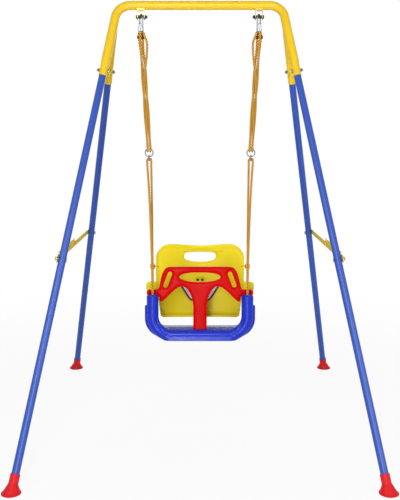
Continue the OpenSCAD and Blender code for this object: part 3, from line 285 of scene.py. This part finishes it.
def new_finish(name):
    """An empty finish with its shader and the place of a point in millimetres."""
    finish = bpy.data.materials.new(name)
    finish.use_nodes = True
    finish.node_tree.nodes.clear()
    shader = add(finish, "ShaderNodeBsdfPrincipled")
    add(finish, "ShaderNodeOutputMaterial", {"Surface": shader.outputs[0]})
    place = add(finish, "ShaderNodeTexCoord")
    in_mm = add(finish, "ShaderNodeVectorMath", {0: place.outputs["Object"], "Scale": 1 / MM},
                operation="SCALE")
    return finish, shader, in_mm.outputs[0]


def feed(finish, shader, **outs):
    """Links outputs to the shader's sockets; a socket's name has lower case and underscores here."""
    for socket, out in outs.items():
        finish.node_tree.links.new(out, shader.inputs[socket.replace("_", " ").title()])


# Sockets of Blender's colour mix: its factor, its two colours and its result.
MIX_SHARE, MIX_FROM, MIX_TO, MIX_OUT = 0, 6, 7, 2
# Noise patterns: the part of their range that shows, and how many finer layers each one has.
NOISE_LOW, NOISE_HIGH = 0.3, 0.7
MOTTLE_DETAIL, PATCH_DETAIL, GRAIN_DETAIL = 3.0, 5.0, 2.0
SPANGLE_DETAIL, SCRATCH_DETAIL, FIBRE_DETAIL = 4.0, 2.0, 3.0
PATCHES_A_MOTTLE = 2.4      # patches of gloss along one mottle


def coloured(name, colour, shade, rough, rough_span, mottle_mm, grain_mm, grain_lift, shine):
    """Finish of one colour with slow mottling, an uneven gloss and a fine raised grain."""
    finish, shader, in_mm = new_finish(name)
    mottle = add(finish, "ShaderNodeTexNoise", {
        "Vector": in_mm, "Scale": 1 / mottle_mm, "Detail": MOTTLE_DETAIL})
    tint = add(finish, "ShaderNodeMix", {
        MIX_SHARE: mottle.outputs["Fac"], MIX_FROM: linear(shade), MIX_TO: linear(colour)},
        data_type="RGBA")
    patches = add(finish, "ShaderNodeTexNoise", {
        "Vector": in_mm, "Scale": PATCHES_A_MOTTLE / mottle_mm, "Detail": PATCH_DETAIL})
    gloss = add(finish, "ShaderNodeMapRange", {
        "Value": patches.outputs["Fac"], "From Min": NOISE_LOW, "From Max": NOISE_HIGH,
        "To Min": rough - rough_span, "To Max": rough + rough_span})
    grain = add(finish, "ShaderNodeTexNoise", {
        "Vector": in_mm, "Scale": 1 / grain_mm, "Detail": GRAIN_DETAIL})
    bump = add(finish, "ShaderNodeBump", {
        "Height": grain.outputs["Fac"], "Strength": 1.0, "Distance": grain_lift * MM})
    feed(finish, shader, base_color=tint.outputs[MIX_OUT], roughness=gloss.outputs[0],
         normal=bump.outputs[0])
    shader.inputs["Specular IOR Level"].default_value = shine
    return finish


# Baked enamel on steel tube: deep colour under a clear gloss, with orange peel about 2 mm across.
gold_enamel = coloured(
    "gold_enamel_on_steel", "#EFC81C", "#E6BD14", rough=0.34, rough_span=0.05,
    mottle_mm=90, grain_mm=2.0, grain_lift=0.012, shine=0.35)
blue_enamel = coloured(
    "blue_enamel_on_steel", "#2850B0", "#2148A4", rough=0.33, rough_span=0.05,
    mottle_mm=90, grain_mm=2.0, grain_lift=0.012, shine=0.45)
# The flat brace strips: dipped and satin, in a gold painted lighter than the tubes' to make up for the
# light that their sideways faces lack.
lightened_gold_satin = coloured(
    "lightened_gold_satin_enamel_on_strip", "#FADA2A", "#F2CE1E", rough=0.5, rough_span=0.06,
    mottle_mm=40, grain_mm=1.5, grain_lift=0.02, shine=0.02)
# Moulded polyethylene: waxy semi-gloss, slightly cloudy colour, fine pebble from the mould.
blue_hdpe = coloured(
    "blue_blow_moulded_hdpe", "#1230C0", "#0D29B2", rough=0.27, rough_span=0.05,
    mottle_mm=60, grain_mm=0.9, grain_lift=0.02, shine=0.25)
yellow_hdpe = coloured(
    "yellow_blow_moulded_hdpe", "#F4E024", "#EED61A", rough=0.32, rough_span=0.06,
    mottle_mm=60, grain_mm=0.9, grain_lift=0.015, shine=0.12)
# The same plastic in amber, on the rope eyes and their pins.
amber_hdpe = coloured(
    "amber_moulded_hdpe", "#E2A61E", "#D89A16", rough=0.34, rough_span=0.06,
    mottle_mm=30, grain_mm=0.9, grain_lift=0.03, shine=0.12)
red_hdpe = coloured(
    "red_blow_moulded_hdpe", "#CE0202", "#BE0101", rough=0.32, rough_span=0.06,
    mottle_mm=60, grain_mm=0.9, grain_lift=0.03, shine=0.06)
# Injection-moulded soft PVC of the feet: satin, dusty, with a coarser grain.
red_pvc = coloured(
    "red_moulded_pvc", "#DA2428", "#CE1C20", rough=0.38, rough_span=0.08,
    mottle_mm=40, grain_mm=1.4, grain_lift=0.06, shine=0.15)
# Moulded acetal of buckle and anchor plate, nylon of the bushes: black, satin, fine eroded grain.
black_acetal = coloured(
    "black_moulded_acetal", "#17171A", "#101012", rough=0.42, rough_span=0.08,
    mottle_mm=12, grain_mm=0.5, grain_lift=0.04, shine=0.4)
dark_nylon = coloured(
    "dark_moulded_nylon", "#232326", "#18181A", rough=0.45, rough_span=0.08,
    mottle_mm=12, grain_mm=0.5, grain_lift=0.04, shine=0.4)

# Drawn scratches of plated steel: width and depth in millimetres, and width against length.
SCRATCH_MM, SCRATCH_DEEP, SCRATCH_SLIM = 0.4, 0.02, 0.05
GLOSS_LESS, GLOSS_MORE = 0.07, 0.09     # how far the roughness strays to either side


def plated(name, colour, tint, rough, spangle_mm):
    """Plated steel: metal with a mottled tint and fine drawn scratches."""
    finish, shader, in_mm = new_finish(name)
    shader.inputs["Metallic"].default_value = 1.0
    spangle = add(finish, "ShaderNodeTexNoise", {
        "Vector": in_mm, "Scale": 1 / spangle_mm, "Detail": SPANGLE_DETAIL})
    mixed = add(finish, "ShaderNodeMix", {
        MIX_SHARE: spangle.outputs["Fac"], MIX_FROM: linear(tint), MIX_TO: linear(colour)},
        data_type="RGBA")
    gloss = add(finish, "ShaderNodeMapRange", {
        "Value": spangle.outputs["Fac"], "From Min": NOISE_LOW, "From Max": NOISE_HIGH,
        "To Min": rough - GLOSS_LESS, "To Max": rough + GLOSS_MORE})
    drawn = add(finish, "ShaderNodeVectorMath", {
        0: in_mm, 1: (1 / SCRATCH_MM, 1 / SCRATCH_MM, SCRATCH_SLIM / SCRATCH_MM)},
        operation="MULTIPLY")
    lines = add(finish, "ShaderNodeTexNoise", {
        "Vector": drawn.outputs[0], "Scale": 1.0, "Detail": SCRATCH_DETAIL})
    bump = add(finish, "ShaderNodeBump", {
        "Height": lines.outputs["Fac"], "Strength": 1.0, "Distance": SCRATCH_DEEP * MM})
    feed(finish, shader, base_color=mixed.outputs[MIX_OUT], roughness=gloss.outputs[0],
         normal=bump.outputs[0])
    return finish


# Bright zinc plate on wire and bolts: cool grey metal, a little cloudy.
zinc_plate = plated("bright_zinc_plate", "#85888F", "#6A6D74", rough=0.3, spangle_mm=6.0)
# Yellow chromate on zinc, on the hanger brackets: gold-green metal with uneven tint.
yellow_zinc = plated("yellow_chromate_zinc", "#A39050", "#877538", rough=0.34, spangle_mm=4.0)
# Black oxide on steel rivets and hanger bolts: near-black metal with a dull sheen.
black_oxide = plated("black_oxide_steel", "#2B2B2E", "#1B1B1D", rough=0.45, spangle_mm=3.0)

# Rope fibres are 0.2 mm wide; drawn 0.5 mm wide, 50 round the rope, so that they show.
FIBRES_ROUND, FIBRES_A_METRE, FIBRE_LIFT = 50.0, 70.0, 0.15
VALLEY_END, CREST_START = 0.1, 0.9      # of a strand's height, where the painted valley shade gives way to the fibres' colour, and where that is full
ROPE_SMOOTH, ROPE_DULL, ROPE_SHINE = 0.38, 0.6, 0.2


def rope_finish():
    """Laid polyethylene rope: glossy flat fibres, with painted shade, dark orange, between the strands.
    """
    finish, shader, _ = new_finish("laid_polyethylene_rope")
    lay = add(finish, "ShaderNodeUVMap", uv_map="lay")
    fibre_lay = add(finish, "ShaderNodeVectorMath", {
        0: lay.outputs[0], 1: (FIBRES_ROUND, FIBRES_A_METRE, 1.0)}, operation="MULTIPLY")
    fibres = add(finish, "ShaderNodeTexNoise", {
        "Vector": fibre_lay.outputs[0], "Scale": 1.0, "Detail": FIBRE_DETAIL})
    fibre_tint = add(finish, "ShaderNodeMix", {
        MIX_SHARE: fibres.outputs["Fac"], MIX_FROM: linear("#DA9A28"), MIX_TO: linear("#FFCE52")},
        data_type="RGBA")
    depth = add(finish, "ShaderNodeAttribute", attribute_name="strand_depth")
    shown = add(finish, "ShaderNodeMapRange", {
        "Value": depth.outputs["Fac"], "From Min": VALLEY_END, "From Max": CREST_START})
    # Painted shade between the strands: dark orange in the valleys, fading into the fibres' colour
    # towards the crests.
    fibre_tint_and_valley_shade = add(finish, "ShaderNodeMix", {
        MIX_SHARE: shown.outputs[0], MIX_FROM: linear("#6E3A06"),
        MIX_TO: fibre_tint.outputs[MIX_OUT]}, data_type="RGBA")
    gloss = add(finish, "ShaderNodeMapRange", {
        "Value": fibres.outputs["Fac"], "From Min": NOISE_LOW, "From Max": NOISE_HIGH,
        "To Min": ROPE_SMOOTH, "To Max": ROPE_DULL})
    bump = add(finish, "ShaderNodeBump", {
        "Height": fibres.outputs["Fac"], "Strength": 1.0, "Distance": FIBRE_LIFT * MM})
    feed(finish, shader, base_color=fibre_tint_and_valley_shade.outputs[MIX_OUT], roughness=gloss.outputs[0],
         normal=bump.outputs[0])
    shader.inputs["Specular IOR Level"].default_value = ROPE_SHINE
    return finish


pe_rope = rope_finish()
for rope in ropes:
    rope.data.materials.append(pe_rope)

# Webbing: width and thickness, one pick and one yarn of its weave, and their relief, in millimetres.
WEB_W, WEB_T = 20.0, 1.6
PICK_MM, YARN_MM, WEAVE_LIFT = 1.4, 1.2, 0.25
HIGHLIGHT_FULL, HIGHLIGHT_END = 0.19, 0.2     # reach of the painted highlight from the strap's middle, of the strap's width
WEB_ROUGH, WEB_SHEEN = 0.62, 0.3


def webbing_finish():
    """Woven polypropylene webbing: black ribs across with painted shade in their dips, and a painted
    highlight, a pale band, down the middle.
    """
    finish, shader, _ = new_finish("woven_polypropylene_webbing")
    lay = add(finish, "ShaderNodeUVMap", uv_map="lay")
    parts = add(finish, "ShaderNodeSeparateXYZ", {0: lay.outputs[0]})
    middle = add(finish, "ShaderNodeMath", {0: parts.outputs[0], 1: 0.5}, operation="SUBTRACT")
    off = add(finish, "ShaderNodeMath", {0: middle.outputs[0]}, operation="ABSOLUTE")
    highlight_band = add(finish, "ShaderNodeMapRange", {
        "Value": off.outputs[0], "From Min": HIGHLIGHT_FULL, "From Max": HIGHLIGHT_END,
        "To Min": 1.0, "To Max": 0.0})
    picks = add(finish, "ShaderNodeMath", {
        0: parts.outputs[1], 1: 2 * math.pi / (PICK_MM * MM)}, operation="MULTIPLY")
    yarns = add(finish, "ShaderNodeMath", {
        0: parts.outputs[0], 1: 2 * math.pi * WEB_W / YARN_MM}, operation="MULTIPLY")
    pick_wave = add(finish, "ShaderNodeMath", {0: picks.outputs[0]}, operation="SINE")
    yarn_wave = add(finish, "ShaderNodeMath", {0: yarns.outputs[0]}, operation="SINE")
    weave = add(finish, "ShaderNodeMath", {
        0: pick_wave.outputs[0], 1: yarn_wave.outputs[0]}, operation="MULTIPLY")
    # Painted shade of the weave: darkest in its dips and lighter on its crests, by the same pattern as
    # its relief.
    dark = add(finish, "ShaderNodeMix", {
        MIX_SHARE: weave.outputs[0], MIX_FROM: linear("#0E0C10"), MIX_TO: linear("#26232A")},
        data_type="RGBA")
    # Painted highlight: a pale pinkish band of light down the strap's middle, also shaded by the weave.
    pale = add(finish, "ShaderNodeMix", {
        MIX_SHARE: weave.outputs[0], MIX_FROM: linear("#EFD6DF"), MIX_TO: linear("#FFF4F7")},
        data_type="RGBA")
    both = add(finish, "ShaderNodeMix", {
        MIX_SHARE: highlight_band.outputs[0], MIX_FROM: dark.outputs[MIX_OUT],
        MIX_TO: pale.outputs[MIX_OUT]}, data_type="RGBA")
    bump = add(finish, "ShaderNodeBump", {
        "Height": weave.outputs[0], "Strength": 1.0, "Distance": WEAVE_LIFT * MM})
    feed(finish, shader, base_color=both.outputs[MIX_OUT], normal=bump.outputs[0])
    shader.inputs["Roughness"].default_value = WEB_ROUGH
    shader.inputs["Sheen Weight"].default_value = WEB_SHEEN
    return finish


webbing = webbing_finish()
# Spun polyester sewing thread: off-white, dull, with a fine twist.
thread = coloured(
    "spun_polyester_thread", "#E9E4DA", "#CFC8BA", rough=0.6, rough_span=0.08,
    mottle_mm=2.0, grain_mm=0.3, grain_lift=0.05, shine=0.3)


def both_sides(*names):
    """Names of the left and right solid of each piece."""
    return [f"{name}_{word}" for name in names for word, side in SIDES]


# Finishes of the solids that stay as they are.
NODE_FINISH = {
    gold_enamel: ["top_arch", *both_sides("rear_arm", "rear_knuckle")],
    lightened_gold_satin: both_sides("brace_front_link", "brace_rear_link"),
    blue_enamel: both_sides("front_leg", "rear_leg"),
    zinc_plate: ["front_lock_bolts", "front_lock_nuts", "fold_bolts", "fold_nuts",
                 "brace_front_bolts", "brace_front_nuts", "brace_spacers", "upper_rings", "lower_rings",
                 *both_sides("brace_rear_bolt", "brace_rear_nut", "brace_rivet", "brace_rivet_seat",
                             "snap_hook", "snap_gate")],
    black_oxide: ["harness_rivets", "hanger_bolts", "hanger_nuts"],
    amber_hdpe: ["rope_eye_pins"],
    yellow_zinc: ["hanger_brackets"],
    dark_nylon: ["hanger_bushes"],
    black_acetal: ["harness_anchor"],
}
for finish, names in NODE_FINISH.items():
    for name in names:
        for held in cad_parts[name].material_slots:
            held.material = finish

WELD_MM = 0.001             # points of a solid that lie closer are one
EVEN_SHARE = 0.5            # of the way to its neighbours' middle, in one pass of smoothing


def settle(piece):
    """Applies a piece's modifiers to its mesh."""
    bpy.context.view_layer.update()
    made = bpy.data.meshes.new_from_object(
        piece.evaluated_get(bpy.context.evaluated_depsgraph_get()))
    piece.modifiers.clear()
    piece.data = made
    made.polygons.foreach_set("use_smooth", [True] * len(made.polygons))


def soften(piece, passes):
    """Evens out a piece's surface, after the modifiers that it has."""
    even = piece.modifiers.new("soften", "SMOOTH")
    even.factor, even.iterations = EVEN_SHARE, passes
    settle(piece)


def moulded(name, node, body, finish, voxel, passes):
    """One closed skin round a solid, with the mould's rounded edges."""
    piece = bpy.data.objects.new(name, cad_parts[node].data.copy())
    bpy.context.collection.objects.link(piece)
    skin = bmesh.new()
    skin.from_mesh(piece.data)
    bmesh.ops.remove_doubles(skin, verts=skin.verts, dist=WELD_MM * MM)
    skin.to_mesh(piece.data)
    skin.free()
    close = piece.modifiers.new("skin", "REMESH")
    close.mode, close.voxel_size = "VOXEL", voxel * MM
    soften(piece, passes)
    piece.data.materials.clear()
    piece.data.materials.append(finish)
    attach(piece, body)
    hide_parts(node)
    return piece


def reshape(piece, place, change):
    """Moves a piece's points, in millimetres in a place's own frame, by a rule on points and normals."""
    mesh = piece.data
    co, no = np.empty((len(mesh.vertices), 3)), np.empty((len(mesh.vertices), 3))
    mesh.vertices.foreach_get("co", co.ravel())
    mesh.vertices.foreach_get("normal", no.ravel())
    there, back = np.array(place), np.array(place.inverted())
    moved = change(co @ back[:3, :3].T / MM + back[:3, 3] / MM, no @ back[:3, :3].T)
    mesh.vertices.foreach_set("co", (moved * MM @ there[:3, :3].T + there[:3, 3]).ravel())
    mesh.update()


SIDE_TURN, FACE_TURN = 0.3, 0.8     # how far a plate's side and its face are turned to the front, of 1


def rolled_edges(width, deep, front_only=False):
    """Rule that rounds a plate's faces over to its edges and openings."""
    def change(p, n):
        facing = np.clip((np.abs(n[:, 1]) - SIDE_TURN) / (FACE_TURN - SIDE_TURN), 0, 1)
        tree = KDTree(len(p))
        for i in np.flatnonzero(facing == 0):
            tree.insert((p[i, 0], 0, p[i, 2]), int(i))
        tree.balance()
        near = np.array([tree.find((x, 0, z))[2] for x, y, z in p])
        fall = deep * facing * np.clip(1 - near / width, 0, 1) ** 2
        p[:, 1] += np.where(n[:, 1] < 0, fall, 0 if front_only else -fall)
        return p
    return change


# Crease of the seat's front roll in front view: level along the roll, then up the posts' inner side.
CREASE = ((140.5, 84), (140, 74), (138.5, 62), (135.6, 50), (129.5, 38), (122, 26), (113, 15),
          (103, 8), (92, 5.6), (60, 5.2), (0, 5.2))
CREASE_STEP, CREASE_DEEP, CREASE_WIDE = 1.0, 2.4, 3.0
CREASE_END_Z, CREASE_FADE = 84.0, 26.0
LIP_LOW_Z, LIP_TOP_Z, LIP_Y, LIP_RISE = -9.5, 3.5, -115.5, 0.12
LIP_FADE_MM, LIP_END_X, LIP_END_FADE = 3.0, 100.0, 24.0
ROLL_Y = 95.0               # the roll's middle in front of the seat's
ROLL_BEHIND, ROLL_TURN = 8.0, 0.25      # how far behind it, and turned back, still counts as front
POST_X, POST_R, POST_TOP, POST_ROUND = 151.0, 19.0, 136.0, 7.0


def creased_roll(p, n):
    """Rule that presses the crease into the front roll and lets the lip below it stand out."""
    front = (p[:, 1] < ROLL_BEHIND - ROLL_Y) & (n[:, 1] < ROLL_TURN)
    x, z = np.abs(p[:, 0]), p[:, 2]
    line = smooth_line(np.array([(a, b, 0.0) for a, b in CREASE]), CREASE_STEP)[:, :2]
    near = np.full(len(p), np.inf)
    for a, b in zip(line[:-1], line[1:]):
        way = b - a
        t = np.clip(((x - a[0]) * way[0] + (z - a[1]) * way[1]) / way.dot(way), 0, 1)
        near = np.minimum(near, np.hypot(x - a[0] - t * way[0], z - a[1] - t * way[1]))
    fade = np.clip((CREASE_END_Z - z) / CREASE_FADE, 0, 1)
    press = np.where(front, CREASE_DEEP * fade * np.exp(-(near / CREASE_WIDE) ** 2), 0)
    band = np.clip((z - LIP_LOW_Z) / LIP_FADE_MM + 1, 0, 1)
    band *= np.clip((LIP_TOP_Z - z) / LIP_FADE_MM + 1, 0, 1)
    band *= np.clip((LIP_END_X - x) / LIP_END_FADE + 1, 0, 1)
    flat = LIP_Y + LIP_RISE * (z - LIP_LOW_Z)
    p -= n * press[:, None]
    p[:, 1] += np.where(front, band * np.minimum(0, flat - p[:, 1]), 0)
    return p


def rounded_posts(p, n):
    """Rule that rounds the upper rim of the two front posts."""
    off = np.hypot(np.abs(p[:, 0]) - POST_X, p[:, 1] + ROLL_Y)
    rim = np.clip((off - (POST_R - POST_ROUND)) / POST_ROUND, 0, 1)
    top = np.clip((p[:, 2] - POST_TOP) / POST_ROUND + 1, 0, 1) * (p[:, 1] < 0)
    p[:, 2] -= POST_ROUND * top * (1 - np.sqrt(1 - rim ** 2))
    return p


# Moulded pieces: the voxel in millimetres keeps their form, and the passes round their edges.
EDGE_PASSES = 4             # of smoothing, after a plate's edges are rolled
seat = moulded("seat_shell_moulded", "seat_shell", "seat", blue_hdpe,
               voxel=1.7, passes=6)
reshape(seat, seat_place, creased_roll)
reshape(seat, seat_place, rounded_posts)
backrest = moulded("backrest_moulded", "backrest", "seat", yellow_hdpe,
                   voxel=1.8, passes=5)
reshape(backrest, back_place, rolled_edges(width=12, deep=4.0, front_only=True))
soften(backrest, EDGE_PASSES)
safety_bar = moulded("safety_bar_moulded", "safety_bar", "safety_bar", red_hdpe,
                     voxel=1.7, passes=5)
reshape(safety_bar, seat_place, rolled_edges(width=10, deep=4.5))
soften(safety_bar, EDGE_PASSES)
moulded("rope_eyes_moulded", "rope_eyes", "seat", amber_hdpe, voxel=0.7, passes=4)
for part in ("buckle_body", "buckle_tongue"):
    moulded(part + "_moulded", part, "seat", black_acetal, voxel=0.7, passes=3)
for word, side in SIDES:
    for foot, body in (("front_foot", "frame"), ("rear_foot", "rear_leg_" + word)):
        moulded(f"{foot}_moulded_{word}", f"{foot}_{word}", body, red_pvc,
                voxel=1.5, passes=6)

# Whipping: twine wound round the rope's two ends under each hook.
WHIP_TURNS, WHIP_D, WHIP_R, WHIP_HALF, WHIP_H = 5, 2.2, 4.3, 6.95, 11.0
WHIP_LOW, WHIP_X, WHIP_STEPS, TWINE_SIDES = 1233.4, 4.4, 28, 8
OFF_ZERO = 1e-9             # keeps a sine's sign plus where it crosses zero
twine_turns = [2 * math.pi * j / TWINE_SIDES for j in range(TWINE_SIDES)]
twine_ring = [(WHIP_D / 2 * MM * math.cos(a), WHIP_D / 2 * MM * math.sin(a)) for a in twine_turns]


def whip_line(side):
    """Points of the twine's turns round both rope ends, in millimetres."""
    turn = math.radians(HOOK_TURN)
    line = []
    for i in range(WHIP_TURNS * WHIP_STEPS + 1):
        a = 2 * math.pi * i / WHIP_STEPS
        x = WHIP_X + WHIP_R * math.cos(a)
        y = WHIP_R * math.sin(a) + math.copysign(WHIP_HALF, math.sin(a) + OFF_ZERO)
        rise = (WHIP_H - WHIP_D) * i / (WHIP_TURNS * WHIP_STEPS)
        line.append((side * (HANGER_X + x * math.cos(turn) - y * math.sin(turn)),
                     SWING_Y + x * math.sin(turn) + y * math.cos(turn),
                     WHIP_LOW + WHIP_D / 2 + rise))
    return np.array(line)


for word, side in SIDES:
    loop = whip_line(side)
    whip = sweep("rope_whipping_" + word, loop * MM, [twine_ring] * len(loop), (0, 0, 1))
    # The twine has no strand_depth, so the rope's finish paints it all in the dark orange of the shade
    # between strands.
    whip.data.materials.append(pe_rope)
    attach(whip, "hangers")
    if side > 0:
        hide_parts("rope_collars")

# Harness webbing: middle of the strap and the way its width points, from the anchor to the buckle.
STRAP_BACK, STRAP_Z, BUCKLE_Z = 7.3, 120.0, 64.0
WEB_LINE = (
    ((1.0, STRAP_BACK, STRAP_Z), (0, 0, 1)), ((28, STRAP_BACK, STRAP_Z), (0, 0, 1)),
    ((52, STRAP_BACK, STRAP_Z), (0, 0, 1)), ((61.5, STRAP_BACK - 1.0, STRAP_Z), (0, 0, 1)),
    ((64, STRAP_BACK - 4.5, STRAP_Z), (0, 0, 1)), ((64, -2, STRAP_Z), (0, 0, 1)),
    ((63.6, -6, STRAP_Z), (-0.1, 0, 1)), ((62, -8, STRAP_Z - 1.5), (-0.3, 0, 0.95)),
    ((57, -8.6, 109.5), (-0.76, 0, 0.65)), ((52, -9.2, 101.8), (-0.83, 0, 0.56)),
    ((43, -10.2, 88), (-0.84, 0, 0.55)), ((34, -11.2, 74.4), (-0.82, 0, 0.57)),
    ((26.5, -12, 66), (-0.4, 0, 0.92)), ((17.6, -12, BUCKLE_Z), (0, 0, 1)))
WEB_COLUMNS, WEB_STEP = 10, 2.5
EDGE_SHARE = 0.55           # thickness of the woven edge, of the webbing's own
# Bar tacks: rows of thread across the strap, from its end at the buckle.
TACK_ROWS, TACK_STITCHES, STITCH_LEN, STITCH_D = (4.0, 7.0), 9, 2.1, 0.7
STITCH_SHARES = (0.25, 0.8, 1.0, 0.8, 0.25)     # thickness along one stitch
TACK_SHARE, STITCH_RISE = 0.9, 0.05     # share of the width that is sewn; mm above the webbing

places = np.array([p for p, w in WEB_LINE], float)
strap_line = smooth_line(places, WEB_STEP)
runs = run_along(strap_line)
ways = ways_along(strap_line)
place_runs = run_along(places)
widths = np.stack([np.interp(runs * place_runs[-1] / runs[-1], place_runs, [w[k] for p, w in WEB_LINE])
                   for k in range(3)], axis=1)
widths -= ways * (widths * ways).sum(axis=1)[:, None]
widths /= np.linalg.norm(widths, axis=1)[:, None]
fronts = np.cross(ways, widths)


def on_back(q, side):
    """A point given in millimetres on the backrest, mirrored for the left side."""
    return back_place @ Vector((side * q[0] * MM, q[1] * MM, q[2] * MM))


def strap_piece(name, side):
    """The webbing as a closed flat band with thin woven edges."""
    points, lay = [], []
    count = 2 * WEB_COLUMNS
    for p, width, front, run in zip(strap_line, widths, fronts, runs):
        for j in range(count):
            column = j if j < WEB_COLUMNS else count - 1 - j
            share = column / (WEB_COLUMNS - 1)
            thick = WEB_T / 2 * (EDGE_SHARE if column in (0, WEB_COLUMNS - 1) else 1.0)
            out = thick if j < WEB_COLUMNS else -thick
            points.append(on_back(p + width * (share - 0.5) * WEB_W + front * out, side))
            lay.append((share, run * MM))
    faces = ring_faces(len(strap_line), count) + end_faces(len(strap_line), count)
    if side < 0:
        faces = [face[::-1] for face in faces]
    return new_piece(name, points, faces, lay)


def tack_piece(name, side):
    """The stitches of a strap's bar tacks, on both of its faces."""
    points, faces = [], []
    for row in TACK_ROWS:
        i = int(np.searchsorted(runs, runs[-1] - row))
        for k in range(TACK_STITCHES):
            for front in (fronts[i], -fronts[i]):
                faces += ring_faces(len(STITCH_SHARES), TWINE_SIDES, first=len(points))
                for m, fat in enumerate(STITCH_SHARES):
                    across = ((k + 0.5) / TACK_STITCHES - 0.5) * TACK_SHARE * WEB_W
                    across += (m / (len(STITCH_SHARES) - 1) - 0.5) * STITCH_LEN
                    centre = strap_line[i] + widths[i] * across + front * (WEB_T / 2 + STITCH_RISE)
                    r = STITCH_D / 2 * fat
                    for a in twine_turns:
                        points.append(on_back(
                            centre + r * math.cos(a) * front + r * math.sin(a) * ways[i], side))
    return new_piece(name, points, faces)


for word, side in SIDES:
    strap = strap_piece("harness_webbing_" + word, side)
    strap.data.materials.append(webbing)
    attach(strap, "seat")
    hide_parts("harness_strap_" + word)
    tacks = tack_piece("harness_bar_tacks_" + word, side)
    tacks.data.materials.append(thread)
    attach(tacks, "seat")


def seen_rays(finish):
    """1 for rays that end in the eye, straight, mirrored or through something clear, and else 0."""
    rays = add(finish, "ShaderNodeLightPath")
    clear = add(finish, "ShaderNodeMath", {
        0: rays.outputs["Is Camera Ray"], 1: rays.outputs["Is Transmission Ray"]},
        operation="MAXIMUM")
    seen = add(finish, "ShaderNodeMath", {
        0: clear.outputs[0], 1: rays.outputs["Is Glossy Ray"]}, operation="MAXIMUM")
    return seen.outputs[0]


# Floor: plain white to the eye far from the swing and nearly so beside it, where its shadow falls.
NEAR_GLOW, FAR_GLOW, GLOW_FROM_MM, GLOW_TO_MM = 0.9, 1.0, 700.0, 2400.0
FLOOR_ROUGH, HALF_FLOOR = 0.9, 30.0


def floor_finish():
    """Matt white floor that takes shadows and shows no edge against the background."""
    finish, shader, in_mm = new_finish("matt_white_floor")
    shader.inputs["Base Color"].default_value = linear("#F4F4F4")
    shader.inputs["Roughness"].default_value = FLOOR_ROUGH
    far = add(finish, "ShaderNodeVectorMath", {0: in_mm}, operation="LENGTH")
    glow_share = add(finish, "ShaderNodeMapRange", {
        "Value": far.outputs["Value"], "From Min": GLOW_FROM_MM, "From Max": GLOW_TO_MM,
        "To Min": NEAR_GLOW, "To Max": FAR_GLOW}, interpolation_type="SMOOTHSTEP")
    seen_share = add(finish, "ShaderNodeMath", {
        0: seen_rays(finish), 1: glow_share.outputs[0]}, operation="MULTIPLY")
    glow = add(finish, "ShaderNodeEmission", {"Strength": 1.0})
    blend = add(finish, "ShaderNodeMixShader", {
        0: seen_share.outputs[0], 1: shader.outputs[0], 2: glow.outputs[0]})
    out = next(n for n in finish.node_tree.nodes if n.type == "OUTPUT_MATERIAL")
    finish.node_tree.links.new(blend.outputs[0], out.inputs[0])
    return finish


corners = [(x * HALF_FLOOR, y * HALF_FLOOR, 0) for x, y in ((-1, -1), (1, -1), (1, 1), (-1, 1))]
floor = new_piece("floor", corners, [(0, 1, 2, 3)])
floor.data.materials.append(floor_finish())

# White studio round the swing, and four soft lamps: name, place, aim, size in metres, watts.
ROOM_LIGHT = 0.2
LAMPS = (("key", (-1.9, -2.6, 2.3), (0, 0, 0.7), (1.0, 1.0), 20),
         ("front", (-0.25, -3.2, 1.3), (0, 0, 0.7), (0.4, 2.6), 62),
         ("fill", (2.0, -2.3, 1.4), (0, 0, 0.6), (1.2, 1.2), 22),
         ("rear", (0.4, 2.6, 2.2), (0, 0, 0.8), (2.4, 2.4), 30))
world = bpy.data.worlds.new("studio")
world.use_nodes = True
bpy.context.scene.world = world
world.node_tree.nodes.clear()
strength = add(world, "ShaderNodeMapRange", {
    "Value": seen_rays(world), "To Min": ROOM_LIGHT, "To Max": 1.0})
sky = add(world, "ShaderNodeBackground", {"Color": (1, 1, 1, 1), "Strength": strength.outputs[0]})
add(world, "ShaderNodeOutputWorld", {"Surface": sky.outputs[0]})
for name, at, look, size, watts in LAMPS:
    lamp = bpy.data.lights.new(name, "AREA")
    lamp.shape, lamp.energy = "RECTANGLE", watts
    lamp.size, lamp.size_y = size
    held = bpy.data.objects.new(name, lamp)
    held.location = at
    held.rotation_euler = (Vector(look) - Vector(at)).to_track_quat("-Z", "Y").to_euler()
    bpy.context.collection.objects.link(held)
bpy.context.scene.view_settings.view_transform = "Standard"
